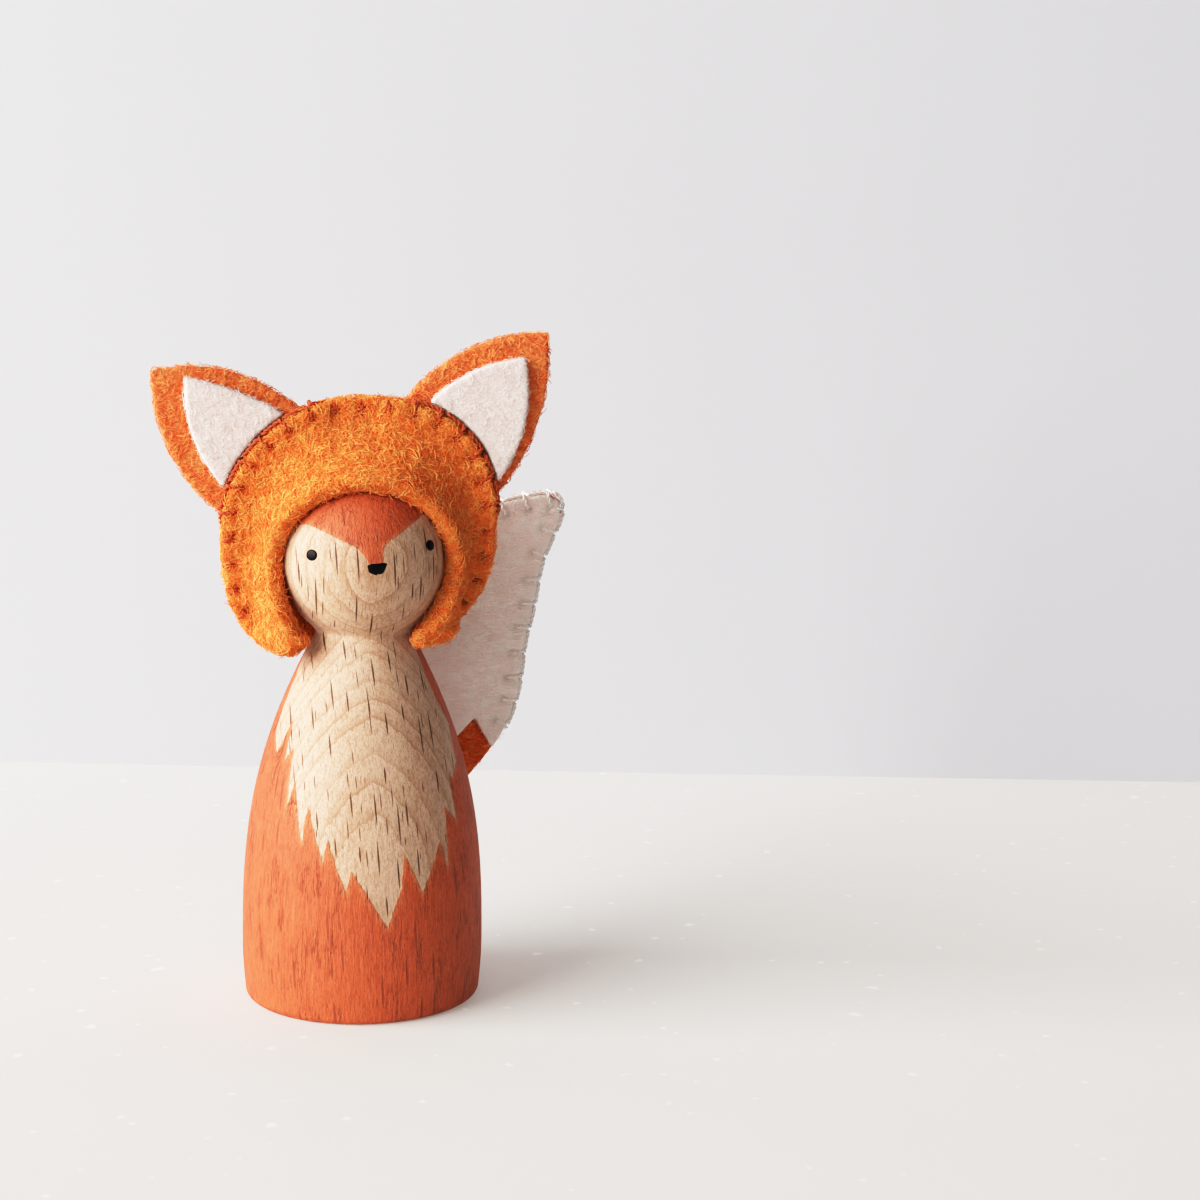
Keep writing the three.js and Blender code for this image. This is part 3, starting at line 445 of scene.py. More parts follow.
def ray_fleck_group():
    """Short lens-shaped marks in columns that stand round the pith, each with its own height and length."""
    name = "Ray flecks"
    if name in bpy.data.node_groups:
        return bpy.data.node_groups[name]
    make, given, result = new_tree("ShaderNodeTree", name, {
        "Position": "Vector", "Ray Distance": PITH_DISTANCE, "Column Angle": 0.08, "Row Height": 4.5,
        "Width": 0.2, "Coverage": 0.7, "Seed": 0.0,
    }, {"Fleck": "Float"})
    x, y, z = make.split(given["Position"])
    depth = make.minus(given["Ray Distance"], y)
    across = make.plus(x, make.times(z, GRAIN_LEAN))
    angle = make.math("ARCTAN2", across, depth)
    radius = make.math("SQRT", make.plus(make.power(across, 2.0), make.power(depth, 2.0)))
    column = make.over(angle, given["Column Angle"])
    column_at = make.math("FLOOR", column)
    lift = make.scatter(make.join(column_at, given["Seed"], 3.7))["Value"]
    row = make.plus(make.over(z, given["Row Height"]), make.times(lift, 7.0))
    row_at = make.math("FLOOR", row)
    chance = make.split(make.scatter(make.join(column_at, row_at, given["Seed"]))["Color"])
    middle = make.scaled(chance[0], 0.6, 0.2)
    aside = make.math("ABSOLUTE", make.minus(make.minus(column, column_at), middle))
    arc = make.times(aside, make.times(given["Column Angle"], radius))
    half = make.scaled(chance[1], 0.3, 0.17)
    along = make.math("ABSOLUTE", make.over(make.minus(make.minus(row, row_at), 0.5), half))
    lens = make.minus(1.0, make.power(along, 2.0))
    body = make.minus(lens, make.over(arc, make.times(given["Width"], 0.5)))
    mark = make.times(body, 6.0, clamp=True)
    kept = make.math("LESS_THAN", chance[2], given["Coverage"])
    make.feed(result["Fleck"], make.times(mark, kept))
    return make.tree


def felt_fibre_group():
    """Matted fibres: fine strands in several directions, with soft clumps between them."""
    name = "Felt fibres"
    if name in bpy.data.node_groups:
        return bpy.data.node_groups[name]
    outputs = {"Fibres": "Float", "Clumps": "Float", "Pits": "Float"}
    make, given, result = new_tree("ShaderNodeTree", name, {"Position": "Vector", "Fineness": 1.0}, outputs)
    place = make.vector("SCALE", given["Position"], scale=given["Fineness"])
    bend = make.add("ShaderNodeTexNoise", {"Vector": place, "Scale": 0.9, "Detail": 1.0}).outputs["Color"]
    bent = make.vector("ADD", place, make.vector("SCALE", bend, scale=0.9))
    strands = None
    for turn in STRAND_TURNS:
        lying = make.stretch(bent, (0.5, 3.1, 3.1), turn)
        strand = make.ramp(make.noise(lying, 1.0, 1.5, 0.6), 0.50, 0.68)
        strands = strand if strands is None else make.most(strands, make.times(strand, 0.93))
    fine = make.noise(bent, 4.5, 2.0, 0.65)
    make.feed_all(result, {
        "Fibres": make.scaled(fine, 0.35, make.times(strands, 0.65)),
        "Clumps": make.noise(place, 0.55, 3.0, 0.55),
        "Pits": make.ramp(make.noise(bent, 2.1, 3.0, 0.6), 0.57, 0.72),
    })
    return make.tree


def place_in_mm(make):
    """Object coordinates in millimetres, which stay with the piece in every view."""
    place = make.add("ShaderNodeTexCoord").outputs["Object"]
    return make.vector("SCALE", place, scale=1 / MM)


def new_material(name):
    material = bpy.data.materials.new(name)
    material.use_nodes = True
    material.node_tree.nodes.clear()
    make = NodeMaker(material.node_tree)
    shader = make.add("ShaderNodeBsdfPrincipled")
    make.add("ShaderNodeOutputMaterial", {"Surface": shader.outputs[0]})
    return material, make, shader.inputs


def dyed(colour, *shares):
    """The colour times one share, or times one for each of its channels."""
    return tuple(c * share for c, share in zip(colour, shares if len(shares) > 1 else shares * 3))


def paled(colour, share):
    return tuple(min(1.0, c * share + 0.03) for c in colour)


def felt_material(name, colour, deep, fineness=1.0, sheen=0.8, relief_share=1.0):
    """Matted felt: bright strands on top, with a deeper colour between them and in its pits that is painted
    shade. Round its stitches it is darker still, as compressed felt and as painted shade in the dimples.
    """
    if name in bpy.data.materials:
        return bpy.data.materials[name]
    material, make, shader = new_material(name)
    felt = make.group(felt_fibre_group(), {"Position": place_in_mm(make), "Fineness": fineness})
    # painted shade: the deeper colour down between the strands and in the pits
    between = dyed(colour, *deep)
    # compressed felt and painted shade in the dimples round the stitches, by the attribute drawn_in
    pressed_and_shaded = dyed(dyed(between, *deep), 0.7)
    pale = paled(colour, 1.1)
    body = make.blend(felt["Fibres"], between, colour)
    lit = make.blend(felt["Fibres"], colour, pale)
    clouded = make.blend(make.ramp(felt["Clumps"], 0.35, 0.75), body, lit)
    pitted = make.blend(make.times(felt["Pits"], 0.65), clouded, between)
    relief = make.minus(felt["Fibres"], make.times(felt["Pits"], 0.6))
    make.feed_all(shader, {
        "Base Color": make.blend(make.times(make.attribute("drawn_in"), 1.1, clamp=True), pitted, pressed_and_shaded),
        "Roughness": make.scaled(felt["Fibres"], -0.12, 1.0),
        "Sheen Weight": sheen, "Sheen Roughness": 0.55, "Sheen Tint": pale, "Specular IOR Level": 0.15,
        "Normal": make.bump(relief_share, 0.34, relief),
    })
    return material


def fibre_material(name, colour, deep):
    """Stray fibres: the felt's colour, a little paler or deeper from place to place."""
    material, make, shader = new_material(name)
    place = place_in_mm(make)
    where = make.ramp(make.noise(place, 0.9, 1.0), 0.35, 0.65)
    make.feed_all(shader, {
        "Base Color": make.blend(where, dyed(colour, *deep), paled(colour, 1.14)),
        "Roughness": make.scaled(make.noise(place, 3.0), 0.2, 0.6),
        "Specular IOR Level": 0.25,
    })
    return material


def thread_material(name, colour, depth):
    """Matt cotton: fine fibres, some of them darker than others."""
    material, make, shader = new_material(name)
    fibres = make.group(felt_fibre_group(), {"Position": place_in_mm(make), "Fineness": 2.4})["Fibres"]
    make.feed_all(shader, {
        "Base Color": make.blend(fibres, dyed(colour, depth), colour),
        "Roughness": make.scaled(fibres, -0.15, 0.9),
        "Normal": make.bump(0.6, 0.05, fibres),
    })
    return material


def peg_material():
    """Bare beech with its rings, ray flecks and pores, under a matt coat that follows the painted outline."""
    settings = settings_of("peg")
    late, coral = tuple(settings.grain_colour), tuple(settings.paint_colour)
    material, make, shader = new_material("Painted beech")
    place = place_in_mm(make)
    x, y, z = make.split(place)

    def grain(across, along, scale=1.0, detail=2.0, roughness=0.5):
        """Noise drawn out along the grain."""
        return make.noise(make.stretch(place, (across, across, along)), scale, detail, roughness)

    def marks(ray_distance, column_angle, height, width, coverage, seed):
        """Flecks in columns, whose height is a share of the fleck length."""
        return make.group(ray_fleck_group(), {
            "Position": place, "Ray Distance": ray_distance, "Column Angle": column_angle,
            "Row Height": height * settings.fleck_length / MM, "Width": width, "Coverage": coverage,
            "Seed": seed,
        })["Fleck"]

    def washed(colour, washes):
        """Lays colours over another one, each by its mask and share."""
        for mask, share, wash in washes:
            colour = make.blend(make.times(mask, share), colour, wash)
        return colour

    leant = make.minus(make.scaled(z, GRAIN_LEAN, x), PITH_ASIDE)
    depth = make.minus(PITH_DISTANCE, y)
    reach = make.math("SQRT", make.plus(make.power(leant, 2.0), make.power(depth, 2.0)))
    waver = make.minus(grain(1.0, 0.22, 0.35), 0.5)
    flutter = make.minus(grain(1.0, 0.5, 2.6, 1.0), 0.5)
    beside = make.minus(x, PEAK_AT)
    slant = make.math("SQRT", make.scaled(beside, beside, PEAK_ROUND))
    radius = make.scaled(slant, -0.14, make.minus(reach, PITH_DISTANCE + RING_START))
    bowed = make.math("ABSOLUTE", make.math("SINE", make.times(radius, math.pi / BOW_SPACING)))
    drifted = make.scaled(bowed, -0.38, radius)
    moved = make.scaled(waver, 0.5, make.scaled(flutter, 0.22, drifted))
    rings = make.over(moved, settings.ring_spacing / MM)
    ring = make.math("FRACT", rings)
    ring_at = make.math("FLOOR", rings)
    vigour = make.scaled(make.scatter(make.join(ring_at, 4.0, 1.5))["Value"], 0.6, 0.4)
    line = make.times(make.power(ring, 11.0), vigour)
    band = make.times(make.power(ring, 2.0), vigour)
    flecks = None
    for apart, height, width, coverage, seed, weight in FLECK_SIZES:
        fleck = marks(RAY_DISTANCE, apart / (RAY_DISTANCE + HEAD_RADIUS), height, width, coverage, seed)
        fleck = make.times(fleck, weight)
        flecks = fleck if flecks is None else make.most(flecks, fleck)
    facing = make.over(make.times(y, -1.0), make.vector_length(make.join(x, y, 0.0)))
    flecks = make.times(flecks, make.ramp(facing, 0.12, 0.45))
    pores = grain(2.6, 0.6, 1.0, 3.0, 0.65)
    specks = grain(6.5, 2.6, 1.0, 2.5, 0.7)
    wood = washed(tuple(settings.wood_colour), [
        (band, 0.40, late),
        (line, 0.85, late),
        (make.ramp(pores, 0.42, 0.70), 0.52, late),
        (make.ramp(specks, 0.44, 0.66), 0.58, late),
        (make.ramp(grain(0.16, 0.05), 0.35, 0.7), 0.10, WARM_TINT),
        (flecks, 0.94, tuple(settings.fleck_colour)),
    ])

    edge = make.scaled(make.minus(grain(1.0, 0.30, 3.0), 0.5), 0.42, make.attribute("bare_distance"))
    coat = make.minus(0.5, make.over(edge, 0.14), clamp=True)
    thick = make.times(edge, -1.5, clamp=True)
    streak = grain(2.4, 0.28, 1.0, 3.0, 0.6)
    dry = make.times(make.ramp(streak, 0.52, 0.74), 0.26)
    cover = make.most(make.times(make.minus(1.0, thick), 0.55), dry)
    seam = grain(1.5, 0.14, 1.0, 3.0, 0.62)
    narrow = make.scaled(make.math("ABSOLUTE", make.minus(seam, 0.5)), -27.0, 1.0, clamp=True)
    cracks = make.times(narrow, make.ramp(grain(0.5, 0.16), 0.46, 0.62))
    slits = marks(0.0, math.pi / 30, 1.15, 0.28, 0.30, 11.0)
    paint = washed(make.blend(cover, coral, tuple(settings.thin_paint_colour)), [
        (make.ramp(pores, 0.46, 0.70), 0.6, dyed(coral, 0.5)),
        (make.ramp(specks, 0.46, 0.66), 0.5, dyed(coral, 0.5)),
        (cracks, 0.75, dyed(coral, 0.35)),
        (slits, 0.60, dyed(coral, 0.28)),
    ])

    grooves = make.times(make.most(slits, cracks), coat)
    cut = make.most(make.times(flecks, make.scaled(coat, -0.75, 1.0)), grooves)
    ridges = make.times(streak, make.scaled(coat, 1.5, 0.25))
    height = make.minus(ridges, make.times(cut, 1.1))
    height = make.plus(height, make.times(coat, 0.35))
    height = make.scaled(pores, -0.35, height)
    height = make.scaled(specks, make.scaled(coat, -0.5, -0.6), height)
    make.feed_all(shader, {
        "Base Color": make.blend(coat, wood, paint),
        "Roughness": make.scaled(pores, 0.18, make.scaled(coat, -0.06, 0.56)),
        "Specular IOR Level": 0.5,
        "Normal": make.bump(0.8, 0.10, height),
    })
    return material


def eye_material():
    """Glossy black paint with faint brush marks."""
    material, make, shader = new_material("Black paint")
    marks = make.noise(make.stretch(place_in_mm(make), (1.0, 1.0, 0.4)), 4.0, 2.0)
    make.feed_all(shader, {
        "Base Color": make.blend(marks, (0.002, 0.002, 0.002), (0.008, 0.007, 0.007)),
        "Roughness": make.scaled(marks, 0.12, 0.26),
        "Specular IOR Level": 0.12,
        "Normal": make.bump(0.3, 0.03, marks),
    })
    return material


def glue_material():
    """Dried craft glue: cloudy and slightly yellow."""
    material, make, shader = new_material("Dried glue")
    cloud = make.noise(place_in_mm(make), 0.8, 3.0)
    make.feed_all(shader, {
        "Base Color": make.blend(cloud, (0.50, 0.41, 0.26), (0.66, 0.58, 0.44)),
        "Roughness": make.scaled(cloud, 0.3, 0.22),
        "Normal": make.bump(0.4, 0.1, cloud),
    })
    return material


def stage_material(name, colour, speck_share=0.0, glow=None, one_sided=False):
    """Matt and pale. glow is the light that the room throws back into the shadows on it."""
    material, make, shader = new_material(name)
    if glow:
        make.feed_all(shader, {"Emission Color": glow, "Emission Strength": 1.0})
    place = make.add("ShaderNodeTexCoord").outputs["Object"]
    cloud = make.noise(place, 9.0, 4.0)
    specks = make.times(make.ramp(make.noise(place, 330.0, 1.0), 0.71, 0.77), speck_share)
    make.feed_all(shader, {
        "Base Color": make.blend(specks, make.blend(cloud, dyed(colour, 0.97), colour), SPECK_COLOUR),
        "Roughness": make.scaled(cloud, 0.1, 0.75),
    })
    if one_sided:
        end = next(n for n in material.node_tree.nodes if n.type == "OUTPUT_MATERIAL")
        solid = end.inputs["Surface"].links[0].from_socket
        behind = make.add("ShaderNodeNewGeometry").outputs["Backfacing"]
        clear = make.add("ShaderNodeBsdfTransparent").outputs[0]
        both = make.add("ShaderNodeMixShader", {0: behind, 1: solid, 2: clear})
        make.feed(end.inputs["Surface"], both.outputs[0])
    return material


def geometry_tree(name, inputs):
    """A Geometry Nodes tree whose first input and only output are geometry."""
    return new_tree("GeometryNodeTree", name, {"Geometry": "Geometry", **inputs}, {"Geometry": "Geometry"})


def finish_tree(make, geometry, material, result):
    real = make.add("GeometryNodeRealizeInstances", {"Geometry": geometry})
    painted = make.add("GeometryNodeSetMaterial", {"Geometry": real.outputs[0], "Material": material})
    make.feed(result["Geometry"], painted.outputs[0])


def random_value(make, kind, low, high, seed):
    node = make.add("FunctionNodeRandomValue", {"Min": low, "Max": high, "Seed": seed}, data_type=kind)
    return next(s for s in node.outputs if s.enabled)


def tube_along(make, path, sides, radius):
    round_section = {"Resolution": sides, "Radius": radius}
    circle = make.add("GeometryNodeCurvePrimitiveCircle", round_section, mode="RADIUS").outputs["Curve"]
    inputs = {"Curve": path, "Profile Curve": circle, "Fill Caps": True}
    return make.add("GeometryNodeCurveToMesh", inputs).outputs[0]


def felt_surface_tree():
    """Swells a felt a little and gives it soft lumps."""
    name = "Felt surface"
    if name in bpy.data.node_groups:
        return bpy.data.node_groups[name]
    make, given, result = geometry_tree(name, {
        "Swell": 0.1 * MM, "Lump Height": 0.1 * MM, "Lump Size": 2.0 * MM, "Material": "Material",
    })
    place = make.add("GeometryNodeInputPosition").outputs[0]
    normal = make.add("GeometryNodeInputNormal").outputs[0]
    wide = make.noise(place, make.over(1.0, given["Lump Size"]), 1.0)
    fine = make.noise(place, make.over(4.0, given["Lump Size"]), 2.0)
    lumps = make.times(make.minus(make.scaled(fine, 0.4, wide), 0.7), given["Lump Height"])
    out = make.vector("SCALE", normal, scale=make.plus(lumps, given["Swell"]))
    moved = make.add("GeometryNodeSetPosition", {"Geometry": given["Geometry"], "Offset": out})
    finish_tree(make, moved.outputs[0], given["Material"], result)
    return make.tree


def stray_fibre_tree():
    """Scatters thin bent fibres over a felt, most of them lying down."""
    name = "Stray fibres"
    if name in bpy.data.node_groups:
        return bpy.data.node_groups[name]
    make, given, result = geometry_tree(name, {
        "Fibres per Square Metre": 2e6, "Length": 1.5 * MM, "Thickness": 0.04 * MM, "Seed": 1,
        "Material": "Material",
    })
    path = make.add("GeometryNodeCurveQuadraticBezier", {
        "Resolution": 3, "Start": (-0.5, 0.0, -0.05), "Middle": (0.0, 0.22, 0.34), "End": (0.5, 0.0, 0.02),
    })
    radius = make.over(make.times(given["Thickness"], 0.5), given["Length"])
    fibre = tube_along(make, path.outputs[0], 3, radius)
    points = make.add("GeometryNodeDistributePointsOnFaces", {
        "Mesh": given["Geometry"], "Density": given["Fibres per Square Metre"], "Seed": given["Seed"],
    }, distribute_method="RANDOM").outputs
    scale = make.times(random_value(make, "FLOAT", 0.35, 1.25, 3), given["Length"])
    placed = make.add("GeometryNodeInstanceOnPoints", {
        "Points": points["Points"], "Instance": fibre, "Rotation": points["Rotation"],
        "Scale": make.join(scale, scale, scale),
    })
    spin = random_value(make, "FLOAT_VECTOR", (-0.3, -0.15, 0.0), (0.3, 0.15, 2 * math.pi), 5)
    lift = make.times(make.power(random_value(make, "FLOAT", 0.0, 1.0, 8), 5.0), -1.1)
    fibres = placed.outputs[0]
    for turn in (spin, make.join(0.0, lift, 0.0)):
        fibres = make.add("GeometryNodeRotateInstances", {"Instances": fibres, "Rotation": turn}).outputs[0]
    finish_tree(make, fibres, given["Material"], result)
    return make.tree


def twisted_thread_tree():
    """Two plies twisted round a path, with its corners rounded."""
    name = "Twisted thread"
    if name in bpy.data.node_groups:
        return bpy.data.node_groups[name]
    make, given, result = geometry_tree(name, {
        "Radius": THREAD_RADIUS * MM, "Twist Length": 1.2 * MM, "Softness": 3, "Material": "Material",
    })
    step = make.over(given["Twist Length"], 9.0)
    even = make.add("GeometryNodeResampleCurve", {"Curve": given["Geometry"], "Length": step}, mode="LENGTH")
    place = make.add("GeometryNodeInputPosition").outputs[0]
    inputs = {"Value": place, "Iterations": given["Softness"], "Weight": 1.0}
    soft = make.add("GeometryNodeBlurAttribute", inputs, data_type="FLOAT_VECTOR")
    blurred = next(s for s in soft.outputs if s.enabled)
    core = make.add("GeometryNodeSetPosition", {"Geometry": even.outputs[0], "Position": blurred}).outputs[0]
    length = make.add("GeometryNodeSplineParameter").outputs["Length"]
    turn = make.times(make.over(length, given["Twist Length"]), 2 * math.pi)
    normal = make.add("GeometryNodeInputNormal").outputs[0]
    side = make.vector("CROSS_PRODUCT", make.add("GeometryNodeInputTangent").outputs[0], normal)
    ply = make.times(given["Radius"], 0.56)
    apart = make.times(given["Radius"], 0.46)
    plies = make.add("GeometryNodeJoinGeometry")
    for phase in (0.0, math.pi):
        angle = make.plus(turn, phase)
        forth = make.vector("SCALE", normal, scale=make.times(make.math("COSINE", angle), apart))
        aside = make.vector("SCALE", side, scale=make.times(make.math("SINE", angle), apart))
        out = make.vector("ADD", forth, aside)
        wound = make.add("GeometryNodeSetPosition", {"Geometry": core, "Offset": out})
        make.tree.links.new(tube_along(make, wound.outputs[0], 6, ply), plies.inputs[0])
    finish_tree(make, plies.outputs[0], given["Material"], result)
    return make.tree


def run_tree(source, tree, values):
    """Runs a tree on an object and returns the result as a plain mesh."""
    modifier = source.modifiers.new(tree.name, "NODES")
    modifier.node_group = tree
    for item in tree.interface.items_tree:
        if item.in_out == "INPUT" and item.name in values:
            modifier[item.identifier] = values[item.name]
    source.update_tag()
    bpy.context.view_layer.update()
    graph = bpy.context.evaluated_depsgraph_get()
    mesh = bpy.data.meshes.new_from_object(source.evaluated_get(graph), depsgraph=graph)
    source.modifiers.remove(modifier)
    return mesh


def new_piece(name, mesh, material, body, slot, *replaced):
    """Puts a mesh in the scene as a piece that rides on a body."""
    mesh.name = name
    mesh.materials.clear()
    mesh.materials.append(material)
    piece = bpy.data.objects.new(name, mesh)
    bpy.context.scene.collection.objects.link(piece)
    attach(piece, body)
    if replaced:
        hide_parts(*replaced)
    return piece


def scratch_object(name, data):
    scratch = bpy.data.objects.new(name, data)
    bpy.context.scene.collection.objects.link(scratch)
    return scratch


# The peg's surface
def smooth_max(a, b, rounding):
    return max(a, b) + max(0.0, rounding - abs(a - b)) ** 2 / (4 * rounding)


def peg_radius(z):
    climb = min(1.0, max(0.0, (z - BELLY_HEIGHT) / (NECK_HEIGHT - BELLY_HEIGHT)))
    bell = NECK_RADIUS + (BELLY_RADIUS - NECK_RADIUS) * (1 - climb ** BELL_SHOULDER) ** BELL_WAIST
    level = (z - HEAD_CENTRE) / HEAD_HALF_HEIGHT
    head = HEAD_RADIUS * math.sqrt(max(0.0, 1 - level * level))
    return smooth_max(bell, head, NECK_ROUND) if z < HEAD_CENTRE else head


def keep_values(mesh, name, values):
    """Keeps a value for each vertex as a named attribute."""
    layer = mesh.attributes.new(name, "FLOAT", "POINT")
    layer.data.foreach_set("value", values.astype(np.float32))


def ring_faces(count, sides):
    """Faces of a closed surface of rings. The points at its two ends come after those of the rings."""
    faces = []
    for i in range(count - 1):
        for j in range(sides):
            k = (j + 1) % sides
            faces.append((i * sides + j, i * sides + k, (i + 1) * sides + k, (i + 1) * sides + j))
    first_end = count * sides
    last_ring = first_end - sides
    for j in range(sides):
        k = (j + 1) % sides
        faces += [(first_end, k, j), (first_end + 1, last_ring + j, last_ring + k)]
    return faces


def peg_profile():
    """Radius and height of each ring of the peg, from the middle of the underside to the crown."""
    rings = [(radius, 0.0) for radius in UNDERSIDE_RINGS]
    for i in range(FOOT_STEPS + 1):
        turn = i / FOOT_STEPS * math.pi / 2
        radius = BASE_RADIUS - FOOT_ROUND + FOOT_ROUND * math.sin(turn)
        rings.append((radius, FOOT_ROUND * (1 - math.cos(turn))))
    for i in range(1, BELLY_STEPS):
        share = i / BELLY_STEPS
        swell = math.sin(share * math.pi / 2)
        rings.append((mix(BASE_RADIUS, BELLY_RADIUS, swell), mix(FOOT_ROUND, BELLY_HEIGHT, share)))
    bell_end = NECK_HEIGHT - NECK_LEAD
    head_start = NECK_HEIGHT + NECK_ROUND
    lowest = math.asin((head_start - HEAD_CENTRE) / HEAD_HALF_HEIGHT)
    brow = math.radians(BROW_ANGLE)
    angles = spread(lowest, brow, FACE_STEPS) + spread(brow, math.pi / 2, CROWN_STEPS)
    levels = spread(BELLY_HEIGHT, bell_end, BELL_STEPS) + spread(bell_end, head_start, NECK_STEPS)
    levels += [HEAD_CENTRE + HEAD_HALF_HEIGHT * math.sin(angle) for angle in angles]
    return np.array(rings + [(peg_radius(z), z) for z in levels])


def signed_distance(points, outline):
    """Distance in the plane from points to a closed outline, positive inside it."""
    least = np.full(len(points), 1e9)
    inside = np.zeros(len(points), bool)
    for a, b in zip(outline, np.roll(outline, -1, axis=0)):
        edge = b - a
        share = np.clip(((points - a) @ edge) / (edge @ edge), 0, 1)
        least = np.minimum(least, np.linalg.norm(points - a - share[:, None] * edge, axis=1))
        crosses = (a[1] > points[:, 1]) != (b[1] > points[:, 1])
        rise = np.where(crosses, (points[:, 1] - a[1]) / (b[1] - a[1] if b[1] != a[1] else 1.0), 0.0)
        inside ^= crosses & (points[:, 0] < a[0] + rise * edge[0])
    return np.where(inside, least, -least)


def make_peg_mesh():
    """One smooth turned surface. bare_distance says how far each point is inside the unpainted wood."""
    rings = peg_profile()
    front = np.arange(-FRONT_REACH, FRONT_REACH, FRONT_STEP)
    back = np.linspace(FRONT_REACH, 360 - FRONT_REACH, BACK_STEPS + 1)
    turns = np.concatenate([front, back[:-1]])
    angles = np.radians(turns)
    radius = rings[:, 0][:, None]
    height = np.repeat(rings[:, 1][:, None], len(turns), axis=1)
    points = np.stack([radius * np.sin(angles), -radius * np.cos(angles), height], axis=-1).reshape(-1, 3)
    count, across = len(rings), len(turns)
    points = np.vstack([points, [0, 0, 0], [0, 0, HEAD_TOP]])
    mesh = bpy.data.meshes.new("peg")
    mesh.from_pydata((points * MM).tolist(), [], ring_faces(count, across))
    mesh.shade_smooth()
    folded = np.where(turns > 180, turns - 360, turns)
    flat = np.stack([np.tile(folded, count) * DEGREE_ON_PEG, height.ravel()], axis=1)
    outline = np.array(PAINT_EDGE_LEFT + PAINT_EDGE_RIGHT + FOREHEAD_EDGE) * (DEGREE_ON_PEG, 1.0)
    bare = signed_distance(flat, outline)
    under = np.repeat(rings[:, 1] < FOOT_PAINT_LEVEL, across)
    bare = np.where(under, BASE_RADIUS - 0.6 * FOOT_ROUND - np.repeat(rings[:, 0], across), bare)
    keep_values(mesh, "bare_distance", np.concatenate([bare, [WELL_BARE, -WELL_BARE]]))
    return mesh


def on_head(turn, z, lift=0.0):
    """A point on the head at degrees from the front and a height, lifted off the wood."""
    angle = math.radians(turn)
    radius = peg_radius(z)
    point = Vector((radius * math.sin(angle), -radius * math.cos(angle), z))
    rise = (z - HEAD_CENTRE) / HEAD_HALF_HEIGHT ** 2
    out = Vector((point.x / HEAD_RADIUS ** 2, point.y / HEAD_RADIUS ** 2, rise))
    return point + out.normalized() * lift


def paint_dab(name, place, reach, height, material):
    """A thin domed dab of paint on the head. reach gives its radius at an angle round its middle."""
    turn, z = place
    rings, sides = 7, 40
    vertices = []
    for i in range(1, rings + 1):
        share = i / rings
        dome = height * math.sqrt(max(0.0, 1 - share ** 3)) if i < rings else -DAB_RIM_SINK
        for j in range(sides):
            angle = j / sides * 2 * math.pi
            r = reach(angle) * share
            level = z + r * math.sin(angle)
            aside = math.degrees(r * math.cos(angle) / peg_radius(level))
            vertices.append(on_head(turn + aside, level, dome) * MM)
    vertices += [on_head(turn, z, height) * MM, on_head(turn, z, -DAB_SINK) * MM]
    outwards = [(face[0], *face[:0:-1]) for face in ring_faces(rings, sides)]
    mesh = bpy.data.meshes.new(name)
    mesh.from_pydata(vertices, [], outwards)
    mesh.shade_smooth()
    new_piece(name, mesh, material, "figure", "painted_beech")


def polygon_reach(corners):
    """Radius at an angle of a star-shaped outline, given as corners round its middle."""
    full = 2 * math.pi
    turns = np.array([math.atan2(y, x) % full for x, y in corners])
    order = np.argsort(turns)
    turns = turns[order]
    places = [Vector(corners[i]) for i in order]

    def reach(angle):
        after = int(np.searchsorted(turns, angle % full)) % len(turns)
        start = places[after - 1]
        edge = places[after] - start
        ray = Vector((math.cos(angle), math.sin(angle)))
        return (start.x * edge.y - start.y * edge.x) / (ray.x * edge.y - ray.y * edge.x)

    return reach


# The bonnet's seam
def outline_point(angle):
    c, s = math.cos(angle), math.sin(angle)
    side = "right" if c > 0 else "left"
    fullness = CROWN_FULLNESS[side] if s > 0 else LOBE_FULLNESS[side]
    height = HOOD_RISE if s > 0 else HOOD_DROP
    r = (abs(c / HOOD_HALF_WIDTH) ** fullness + abs(s / height) ** fullness) ** (-1 / fullness)
    return Vector((HOOD_SHIFT + r * c, HOOD_CENTRE + r * s))


def outline_offset(angle, out):
    along = (outline_point(angle + 0.01) - outline_point(angle - 0.01)).normalized()
    return outline_point(angle) + Vector((along.y, -along.x)) * out


def ear_cover(angle, fade):
    turn = math.degrees(angle)
    covers = []
    for low, high in EAR_SPANS.values():
        rise = smooth_step(turn, low - fade, low - EAR_MARGIN)
        covers.append(rise * (1 - smooth_step(turn, high + EAR_MARGIN, high + fade)))
    return max(covers)


def seam_half_gap(angle):
    return LAYER_GAP + EAR_FELT / 2 * ear_cover(angle, EAR_FADE)


def blanket_stitch(stitch):
    """One stitch: up from the edge to the needle hole, through the layers, and back round the edge."""
    on, front, back, runner, leg, lift = stitch
    bevel = STITCH_BEVEL
    return [
        on(-STITCH_HALF, lift, runner),
        on(-STITCH_HALF, lift, front + bevel),
        on(-STITCH_HALF, lift - bevel, front),
        on(0, bevel - leg, front),
        on(0, -leg, front + bevel),
        on(0, -leg, back - bevel),
        on(0, bevel - leg, back),
        on(STITCH_HALF, lift - bevel, back),
        on(STITCH_HALF, lift, back - bevel),
        on(STITCH_HALF, lift, runner),
    ]


